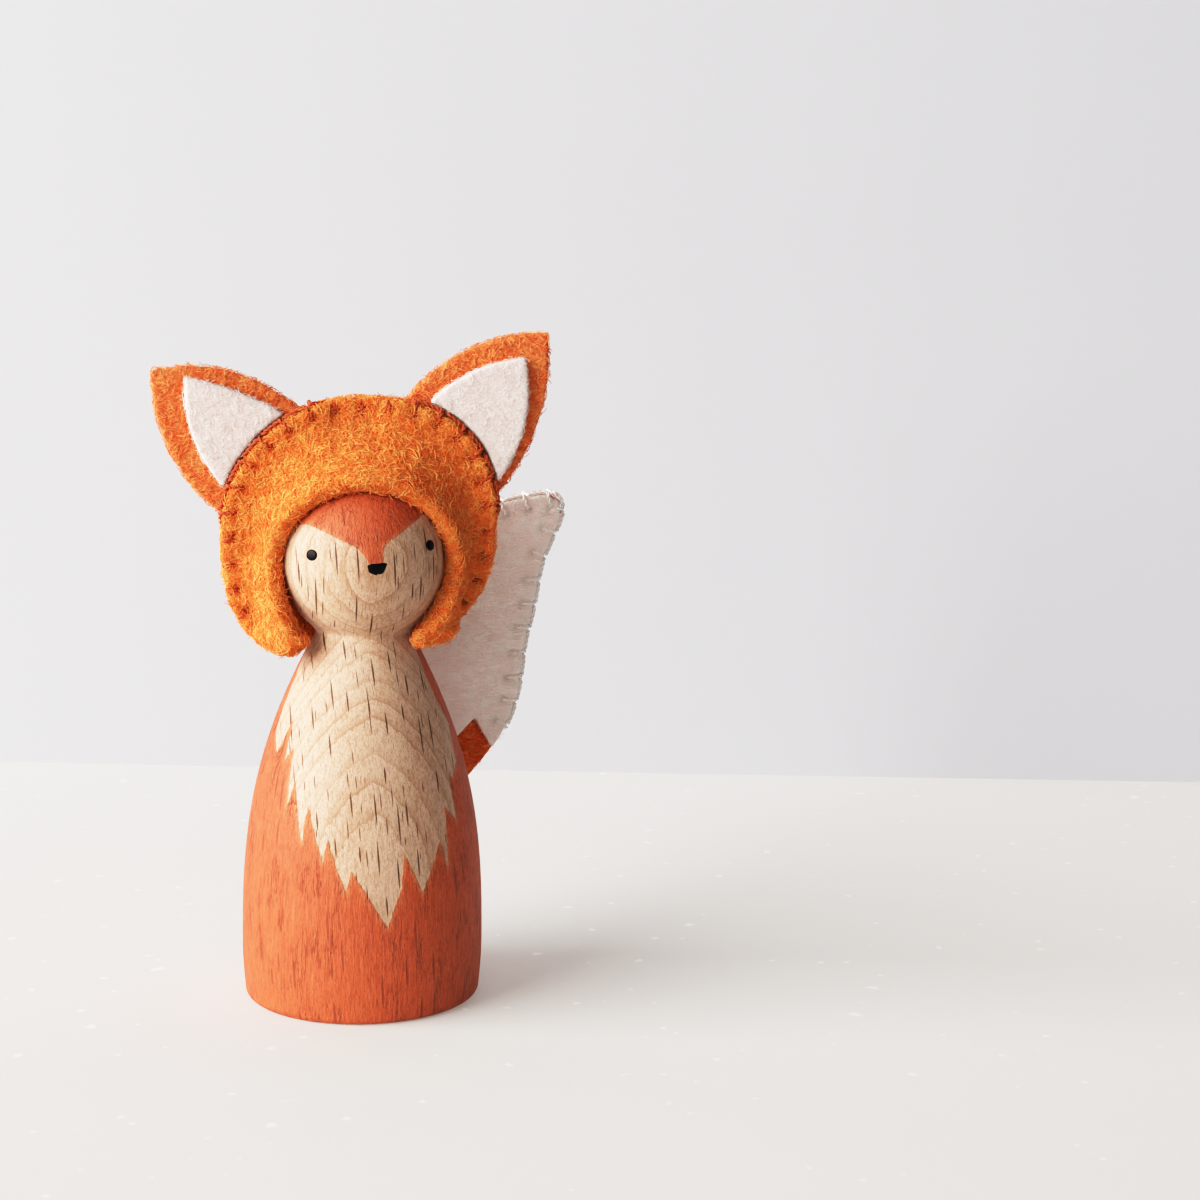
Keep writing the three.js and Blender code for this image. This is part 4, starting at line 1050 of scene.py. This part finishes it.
def hood_stitches():
    samples = 400
    start, end = math.radians(SEAM_END["left"]), math.radians(SEAM_END["right"])
    angles = np.linspace(start, end, samples + 1)
    flat = np.array([outline_point(a) for a in angles])
    lengths = np.concatenate([[0], np.cumsum(np.linalg.norm(np.diff(flat, axis=0), axis=1))])
    total = lengths[-1]
    count = round((total - 2 * SEAM_TAIL) / STITCH_SPACING)
    turned = Matrix.Rotation(math.radians(HOOD_YAW), 3, "Z")
    stitches = []
    for i in range(count + 1):
        stop = mix(SEAM_TAIL, total - SEAM_TAIL, i / count)

        def angle(shift, stop=stop):
            return float(np.interp(stop + shift, lengths, angles))

        def on(shift, out, depth, angle=angle):
            at = outline_offset(angle(shift), out)
            return turned @ Vector((at.x, depth, at.y))

        over_ear = ear_cover(angle(0), EAR_MARGIN + 1) > 0
        lift = DRAWN_LIFT["ear" if over_ear else "hood"]
        stack = max(seam_half_gap(angle(shift)) for shift in (-STITCH_REACH, 0, STITCH_REACH)) + HOOD_FELT
        stack += FACE_LIFT["hood"]
        runner = SEAM_DEPTH - EAR_FELT / 2 - WHITE_FELT - lift / 2 if over_ear else SEAM_DEPTH
        stitches.append(Stitch(on, SEAM_DEPTH - stack, SEAM_DEPTH + stack, runner, HOOD_LEG, lift))
    return stitches


def hood_thread_path():
    return [tucked(point) for stitch in hood_stitches() for point in blanket_stitch(stitch)]


def tucked(point):
    """Where a point of the bonnet lies once its cheek lobes hang back, the right one closer to the neck."""
    low = 1 - smooth_step(point.z, *LOBE_LEVELS)
    back = low * (1 - smooth_step(abs(point.x), *LOBE_SIDES)) * (1 - smooth_step(point.y, *LOBE_FACES))
    inwards = low * smooth_step(point.x, *RIGHT_LOBE) * (1 - smooth_step(point.y, *RIGHT_LOBE_FACES))
    return point + Vector((-LOBE_IN * inwards, LOBE_BACK * back, 0))


# The tail's edge
def tail_edge(samples=1600):
    """Points evenly along the tail's edge, with the direction of travel at each."""
    knots = np.array(TAIL_OUTLINE) * (TAIL_SWEEP, TAIL_LENGTH) + TAIL_ROOT
    count = len(knots)
    fine = []
    for i in range(count):
        p0, p1, p2, p3 = (knots[(i + k) % count] for k in (-1, 0, 1, 2))
        d1, d2, d3 = (max(1e-4, np.linalg.norm(b - a) ** 0.5) for a, b in ((p0, p1), (p1, p2), (p2, p3)))
        m1 = ((p1 - p0) / d1 - (p2 - p0) / (d1 + d2) + (p2 - p1) / d2) * d2
        m2 = ((p2 - p1) / d2 - (p3 - p1) / (d2 + d3) + (p3 - p2) / d3) * d2
        for t in np.linspace(0, 1, 40, endpoint=False):
            fine.append(
                (2 * t ** 3 - 3 * t ** 2 + 1) * p1 + (t ** 3 - 2 * t ** 2 + t) * m1
                + (3 * t ** 2 - 2 * t ** 3) * p2 + (t ** 3 - t ** 2) * m2
            )
    fine = np.array(fine + [fine[0]])
    lengths = np.concatenate([[0], np.cumsum(np.linalg.norm(np.diff(fine, axis=0), axis=1))])
    at = np.linspace(0, lengths[-1], samples, endpoint=False)
    even = np.stack([np.interp(at, lengths, fine[:, k]) for k in (0, 1)], axis=1)
    travel = np.roll(even, -1, axis=0) - np.roll(even, 1, axis=0)
    return even, travel / np.linalg.norm(travel, axis=1)[:, None], lengths[-1]


def tail_stitches():
    """The stitches round the tail's tip, and the distance between two of them."""
    even, travel, total = tail_edge()
    samples = len(even)
    steps = 400
    coarse = even[::samples // steps]
    sewn = np.nonzero(coarse[:, 1] > TAIL_ROOT[1] + TIP_FROM * TAIL_LENGTH)[0]
    first, last = sewn[0] / steps * total, sewn[-1] / steps * total
    count = round((last - first) / STITCH_SPACING)
    spacing = (last - first) / count
    lift = DRAWN_LIFT["tail"]
    front = TAIL_FACE - LAYER_GAP - WHITE_FELT - FACE_LIFT["tail"]
    back = TAIL_FACE + TAIL_FELT + LAYER_GAP + WHITE_FELT + FACE_LIFT["tail"]
    stitches = []
    for i in range(count + 1):

        def on(shift, out, depth, stop=first + i * spacing):
            at = (stop + shift) / total * samples
            k = int(at) % samples
            n = (k + 1) % samples
            p = mix(even[k], even[n], at % 1)
            t = travel[k]
            return Vector((p[0] - t[1] * out, depth, p[1] + t[0] * out))

        stitches.append(Stitch(on, front, back, front + TAIL_RUNNER_DEPTH, TAIL_LEG, lift))
    return stitches, spacing


def tail_thread_path():
    stitches, spacing = tail_stitches()
    path = []
    for stitch in stitches:
        path += blanket_stitch(stitch)
        path += [stitch.on(spacing * k / 4, stitch.lift, stitch.runner) for k in (1, 2, 3)]
    return path[:-3]


def dimples(stitches, depth_share):
    """Where the drawn thread presses the felt in, and how deep."""
    marks = []
    for stitch in stitches:
        on, front, back, leg = stitch.on, stitch.front, stitch.back, stitch.leg
        for face, side in ((front, -STITCH_HALF), (back, STITCH_HALF)):
            marks.append((on(0, -leg, face), HOLE_DIMPLE))
            for share in (0.25, 0.5, 0.75):
                at = on(side * share, -leg * (1 - share), face)
                marks.append((at, mix(LEG_DIMPLE, EDGE_DIMPLE, share * share)))
        for share in (0.0, 0.2, 0.4, 0.6, 0.8, 1.0):
            at = on(mix(-STITCH_HALF, STITCH_HALF, share), 0, mix(front, back, share))
            marks.append((at, EDGE_DIMPLE))
    return [(place, depth * depth_share) for place, depth in marks]


def make_thread(name, path, material, body, slot):
    curve = bpy.data.curves.new(name + "_path", "CURVE")
    curve.dimensions = "3D"
    spline = curve.splines.new("POLY")
    spline.points.add(len(path) - 1)
    for point, at in zip(spline.points, path):
        point.co = (*(at * MM), 1.0)
    line = scratch_object(name + "_path", curve)
    settings = settings_of("thread")
    mesh = run_tree(line, twisted_thread_tree(), {
        "Radius": DRAWN_RADIUS * MM, "Twist Length": settings.twist_length, "Softness": settings.softness,
        "Material": material,
    })
    bpy.data.objects.remove(line)
    mesh.shade_smooth()
    new_piece(name + "_twisted", mesh, material, body, slot, name)


def close_holes(build, stitches, span, beyond_edge):
    """Felt closes round a drawn thread, so each needle hole is filled between the depths that span gives."""
    walls = BVHTree.FromBMesh(build)
    for stitch in stitches:
        low, high = span(stitch)
        holes = [(0, -stitch.leg)]
        if beyond_edge:
            holes.append((STITCH_HALF, THREAD_LIFT))
        for shift, out in holes:
            middle = stitch.on(shift, out, (low + high) / 2) * MM
            wall_distance = walls.find_nearest(middle)[3] / MM
            least = 0.6 * HOLE_RADIUS if out > 0 else 0.0
            if not least < wall_distance < 1.4 * HOLE_RADIUS:
                continue
            axis = stitch.on(shift, out, high) - stitch.on(shift, out, low)
            turn = axis.to_track_quat("Z", "Y").to_matrix().to_4x4()
            bmesh.ops.create_cone(
                build, cap_ends=True, segments=8, radius1=PLUG_RADIUS * MM, radius2=PLUG_RADIUS * MM,
                depth=(high - low) * MM, matrix=Matrix.Translation(middle) @ turn,
            )


def press_in(mesh, marks):
    """Moves the felt in at each mark and keeps how much as the attribute drawn_in, by which the felt's
    material darkens as compressed felt and as painted shade in the dimples.
    """
    tree = KDTree(len(marks))
    for k, mark in enumerate(marks):
        tree.insert(mark[0] * MM, k)
    tree.balance()
    count = len(mesh.vertices)
    places = np.empty(count * 3)
    normals = np.empty(count * 3)
    mesh.vertices.foreach_get("co", places)
    mesh.vertex_normals.foreach_get("vector", normals)
    places = places.reshape(-1, 3)
    normals = normals.reshape(-1, 3)
    pressed_and_shaded = np.zeros(count)
    for v in range(count):
        k, distance = tree.find(places[v])[1:]
        fall = math.exp(-(distance / (DIMPLE_REACH * MM)) ** 2)
        if fall > FAINTEST_DIMPLE:
            pressed_and_shaded[v] = marks[k][1] * fall
    places -= normals * pressed_and_shaded[:, None] * MM
    mesh.vertices.foreach_set("co", places.ravel())
    keep_values(mesh, "drawn_in", pressed_and_shaded / HOLE_DIMPLE)
    mesh.update()


def felt_mesh(node, material, rounding, stitches, span):
    """The CAD solid's felt with soft rounded edges and an uneven surface, in the same place."""
    settings = settings_of("felt")
    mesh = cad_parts[node].data.copy()
    build = bmesh.new()
    build.from_mesh(mesh)
    bmesh.ops.remove_doubles(build, verts=build.verts, dist=SAME_PLACE)
    close_holes(build, stitches, span, beyond_edge=node.startswith("ear"))
    build.to_mesh(mesh)
    build.free()
    scratch = scratch_object(node + "_form", mesh)
    remesh = scratch.modifiers.new("Surface grid", "REMESH")
    remesh.mode = "VOXEL"
    remesh.voxel_size = settings.grid_size
    remesh.adaptivity = 0.0
    smooth = scratch.modifiers.new("Soft edges", "SMOOTH")
    smooth.factor = 0.5
    smooth.iterations = rounding
    result = run_tree(scratch, felt_surface_tree(), {
        "Swell": settings.swell, "Lump Height": settings.lump_height, "Lump Size": LUMP_SIZE * MM,
        "Material": material,
    })
    bpy.data.objects.remove(scratch)
    if stitches:
        press_in(result, dimples(stitches, TAIL_DIMPLE_SHARE if node.startswith("tail") else 1.0))
    if node.startswith("hood"):
        for vertex in result.vertices:
            vertex.co = tucked(vertex.co / MM) * MM
    result.shade_smooth()
    return result


def plug_span(front, felt):
    """The depths between which a needle hole is filled, in a felt whose front lies at the given one."""
    return front + PLUG_INSET, front + felt - PLUG_INSET


def make_felt(piece, stitches=(), span=None):
    mesh = felt_mesh(piece.node, piece.material, piece.rounding, stitches, span)
    made = new_piece(piece.node + "_felt", mesh, piece.material, piece.body, piece.slot, piece.node)
    tuple(side * MM for side in piece.flat)


def make_fuzz(name, felts, values, body, slot):
    """Stray fibres over some felts of one body, as one piece."""
    build = bmesh.new()
    for felt in felts:
        build.from_mesh(bpy.data.objects[felt].data)
    ground = bpy.data.meshes.new(name + "_ground")
    build.to_mesh(ground)
    build.free()
    scratch = scratch_object(name + "_ground", ground)
    mesh = run_tree(scratch, stray_fibre_tree(), values)
    bpy.data.objects.remove(scratch)
    mesh.shade_smooth()
    new_piece(name, mesh, values["Material"], body, slot)


def hood_felt():
    return felt_material("Bonnet felt", tuple(settings_of("felt").hood_colour), ORANGE_DEPTH)


def ear_felt():
    return felt_material("Ear felt", tuple(settings_of("felt").ear_colour), ORANGE_DEPTH)


def lining_felt():
    colour = tuple(settings_of("felt").white_colour)
    return felt_material("White felt", colour, WHITE_DEPTH, fineness=1.2, sheen=0.2, relief_share=0.32)


def tip_felt():
    colour = tuple(settings_of("felt").tip_colour)
    return felt_material("Tail tip felt", colour, WHITE_DEPTH, fineness=1.2, sheen=0.6, relief_share=0.5)


def tail_felt():
    return felt_material("Tail felt", tuple(settings_of("felt").tail_colour), ORANGE_DEPTH, fineness=1.1)


class DOLL_OT_peg(bpy.types.Operator):
    """Turned peg with its rings, ray flecks and painted coat"""

    bl_idname = "doll.peg"
    bl_label = "Turned peg"

    def execute(self, context):
        new_piece("peg_turned", make_peg_mesh(), peg_material(), "figure", "painted_beech", "peg")
        return {"FINISHED"}


class DOLL_OT_face(bpy.types.Operator):
    """Painted eyes and nose"""

    bl_idname = "doll.face"
    bl_label = "Eyes and nose"

    def execute(self, context):
        half = settings_of("peg").eye_size / MM / 2
        black = eye_material()
        for name, place, share in EYES:

            def reach(angle, share=share):
                return half * (share + EYE_OVAL * math.cos(2 * angle))

            paint_dab(name, place, reach, EYE_RISE, black)
        paint_dab("nose", NOSE_PLACE, polygon_reach(NOSE_CORNERS), NOSE_RISE, black)
        return {"FINISHED"}


class DOLL_OT_bonnet(bpy.types.Operator):
    """Front and back felt panels of the bonnet"""

    bl_idname = "doll.bonnet"
    bl_label = "Bonnet panels"

    def execute(self, context):
        sewn = hood_stitches()
        for side, flat, area, span in (
            ("front", (38, 36), 668, lambda stitch: plug_span(stitch.front, HOOD_FELT)),
            ("back", (42, 40), 1100, lambda stitch: plug_span(stitch.back - HOOD_FELT, HOOD_FELT)),
        ):
            make_felt(FeltPiece(
                f"hood_{side}_panel", "hood_felt", "bonnet", hood_felt(), flat, area, "stretched",
                "peg_turned", 20,
            ), sewn, span)
        return {"FINISHED"}


class DOLL_OT_ears(bpy.types.Operator):
    """Ears and their white linings"""

    bl_idname = "doll.ears"
    bl_label = "Ears"

    def execute(self, context):
        sewn = hood_stitches()
        for side in ("left", "right"):
            ear = f"ear_{side}"
            make_felt(FeltPiece(
                ear, "ear_felt", "bonnet", ear_felt(), (20, 22), 233, "stretched", "hood_front_panel_felt", 6,
            ), sewn, lambda stitch: plug_span(SEAM_DEPTH - EAR_FELT / 2, EAR_FELT))
            make_felt(FeltPiece(
                ear + "_lining", "white_felt", "bonnet", lining_felt(), (13, 14), 89, "laid",
                ear + "_felt", 5,
            ))
        return {"FINISHED"}


class DOLL_OT_tail(bpy.types.Operator):
    """Tail core, its white tip on both sides, and the glue at its root"""

    bl_idname = "doll.tail"
    bl_label = "Tail"

    def execute(self, context):
        sewn = tail_stitches()[0]
        make_felt(FeltPiece(
            "tail_core", "tail_felt", "figure", tail_felt(), (27, 53), 742, "hung", "peg_turned", 5,
        ), sewn, lambda stitch: plug_span(TAIL_FACE, TAIL_FELT))
        for face, low in (
            ("front", TAIL_FACE - LAYER_GAP - WHITE_FELT), ("back", TAIL_FACE + TAIL_FELT + LAYER_GAP),
        ):
            make_felt(FeltPiece(
                "tail_tip_" + face, "white_felt", "figure", tip_felt(), (26, 36), 521, "laid",
                "tail_core_felt", 5,
            ), sewn, lambda stitch, low=low: plug_span(low, WHITE_FELT))
        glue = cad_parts["tail_glue_pad"]
        glue.data.materials.clear()
        glue.data.materials.append(glue_material())
        return {"FINISHED"}


class DOLL_OT_stitches(bpy.types.Operator):
    """Blanket stitches of the bonnet and of the tail's tip"""

    bl_idname = "doll.stitches"
    bl_label = "Blanket stitches"

    def execute(self, context):
        settings = settings_of("thread")
        rust = thread_material("Rust thread", tuple(settings.rust_colour), 0.6)
        white = thread_material("White thread", tuple(settings.white_colour), 0.85)
        make_thread("hood_seam_thread", hood_thread_path(), rust, "bonnet", "rust_thread")
        make_thread("tail_tip_thread", tail_thread_path(), white, "figure", "white_thread")
        return {"FINISHED"}


class DOLL_OT_fuzz(bpy.types.Operator):
    """Stray fibres on the felts"""

    bl_idname = "doll.fuzz"
    bl_label = "Stray fibres"

    def execute(self, context):
        settings = settings_of("felt")
        dyes = {
            "orange": fibre_material("Bonnet fibre", tuple(settings.hood_colour), ORANGE_FIBRE_DEPTH),
            "red": fibre_material("Ear fibre", tuple(settings.ear_colour), ORANGE_FIBRE_DEPTH),
            "white": fibre_material("White fibre", tuple(settings.tip_colour), WHITE_DEPTH),
        }
        for name, felts, per_square_mm, length_share, thickness_share, seed, dye, body, slot in FUZZ:
            make_fuzz(name, felts, {
                "Fibres per Square Metre": per_square_mm / MM ** 2,
                "Length": settings.fibre_length * length_share,
                "Thickness": settings.fibre_thickness * thickness_share,
                "Seed": seed, "Material": dyes[dye],
            }, body, slot)
        return {"FINISHED"}


def make_floor_and_wall(settings):
    ahead = Vector((CAMERA_FORWARD.x, CAMERA_FORWARD.y, 0)).normalized()
    aside = Vector((-ahead.y, ahead.x, 0)) * WALL_HALF_WIDTH
    foot = Vector((CAMERA_PLACE.x, CAMERA_PLACE.y, 0)) * MM + ahead * settings.wall_distance
    turns = [2 * math.pi * i / FLOOR_SIDES for i in range(FLOOR_SIDES)]
    rim = [(FLOOR_RADIUS * math.cos(turn), FLOOR_RADIUS * math.sin(turn), 0) for turn in turns]
    up = Vector((0, 0, WALL_HEIGHT))
    board = [foot - aside, foot + aside, foot + aside + up, foot - aside + up]
    pale_floor = stage_material("Pale floor", tuple(settings.floor_colour), 0.6, FLOOR_GLOW)
    pale_wall = stage_material("Pale wall", tuple(settings.wall_colour), one_sided=True)
    for name, corners, face, material in (
        ("floor", rim, range(FLOOR_SIDES), pale_floor), ("wall", board, (3, 2, 1, 0), pale_wall),
    ):
        mesh = bpy.data.meshes.new(name)
        mesh.from_pydata(corners, [], [face])
        mesh.materials.append(material)
        scratch_object(name, mesh)


def make_lamp(name, power, colour, size, place):
    """A large soft light that looks at the middle of the doll."""
    light = bpy.data.lights.new(name, "AREA")
    light.shape = "RECTANGLE"
    light.size, light.size_y = size
    light.energy = power
    light.color = colour
    lamp = scratch_object(name, light)
    lamp.location = place
    lamp.rotation_euler = (DOLL_MIDDLE - lamp.location).to_track_quat("-Z", "Y").to_euler()


def make_room(scene, settings):
    """Dim even light from all round. The camera sees a pale room in its place."""
    world = bpy.data.worlds.new("Soft room")
    world.use_nodes = True
    make = NodeMaker(world.node_tree)
    lighting = world.node_tree.nodes["Background"]
    make.feed_all(lighting.inputs, {"Color": FILL_COLOUR, "Strength": settings.fill_strength})
    seen = make.add("ShaderNodeBackground", {"Color": ROOM_COLOUR})
    direct = make.add("ShaderNodeLightPath").outputs["Is Camera Ray"]
    both = make.add("ShaderNodeMixShader", {0: direct, 1: lighting.outputs[0], 2: seen.outputs[0]})
    make.feed(world.node_tree.nodes["World Output"].inputs["Surface"], both.outputs[0])
    scene.world = world


def set_tones(view):
    view.view_transform = "Standard"
    view.use_curve_mapping = True
    view.curve_mapping.white_level = (BRIGHTEST, BRIGHTEST, BRIGHTEST)
    tones = view.curve_mapping.curves[3].points
    for light, shown in TONE_CURVE:
        tones.new(light / BRIGHTEST, shown)
    view.curve_mapping.update()


def make_camera(scene, lens):
    camera = bpy.data.cameras.new("camera")
    camera.sensor_width = SENSOR_WIDTH
    camera.lens = lens
    camera.clip_start, camera.clip_end = 0.01, 20.0
    eye = scratch_object("camera", camera)
    right = CAMERA_FORWARD.cross(CAMERA_UP).normalized()
    up = right.cross(CAMERA_FORWARD).normalized()
    axes = Matrix((right, up, -CAMERA_FORWARD)).transposed().to_4x4()
    eye.matrix_world = Matrix.Translation(CAMERA_PLACE * MM) @ axes
    scene.camera = eye


class DOLL_OT_stage(bpy.types.Operator):
    """Pale floor and wall, soft light from the left, and the camera"""

    bl_idname = "doll.stage"
    bl_label = "Stage"

    def execute(self, context):
        settings = settings_of("stage")
        make_floor_and_wall(settings)
        make_lamp("key", settings.key_power, *KEY_LAMP)
        make_lamp("front", settings.front_power, *FRONT_LAMP)
        make_room(context.scene, settings)
        set_tones(context.scene.view_settings)
        make_camera(context.scene, settings.lens)
        return {"FINISHED"}


class DOLL_PT_panel(bpy.types.Panel):
    """Makes the doll's pieces in order"""

    bl_idname = "DOLL_PT_panel"
    bl_label = "Peg doll"
    bl_space_type = "VIEW_3D"
    bl_region_type = "UI"
    bl_category = "Peg Doll"

    def draw(self, context):
        for operator in OPERATORS:
            self.layout.operator(operator.bl_idname)
        for name in SETTINGS:
            group = getattr(context.scene, name)
            for label in group.__annotations__:
                self.layout.prop(group, label)


OPERATORS = [
    DOLL_OT_stage, DOLL_OT_peg, DOLL_OT_face, DOLL_OT_bonnet, DOLL_OT_ears, DOLL_OT_tail, DOLL_OT_stitches,
    DOLL_OT_fuzz,
]
SETTINGS = {
    "peg_doll_peg": PegSettings,
    "peg_doll_felt": FeltSettings,
    "peg_doll_thread": ThreadSettings,
    "peg_doll_stage": StageSettings,
}


def register():
    for kind in [*SETTINGS.values(), *OPERATORS, DOLL_PT_panel]:
        bpy.utils.register_class(kind)
    for name, kind in SETTINGS.items():
        setattr(bpy.types.Scene, name, PointerProperty(type=kind))


def unregister():
    for name in SETTINGS:
        delattr(bpy.types.Scene, name)
    for kind in reversed([*SETTINGS.values(), *OPERATORS, DOLL_PT_panel]):
        bpy.utils.unregister_class(kind)


def main():
    register()
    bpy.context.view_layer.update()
    for operator in OPERATORS:
        group, name = operator.bl_idname.split(".")
        getattr(getattr(bpy.ops, group), name)()


if __name__ == "__main__":
    main()
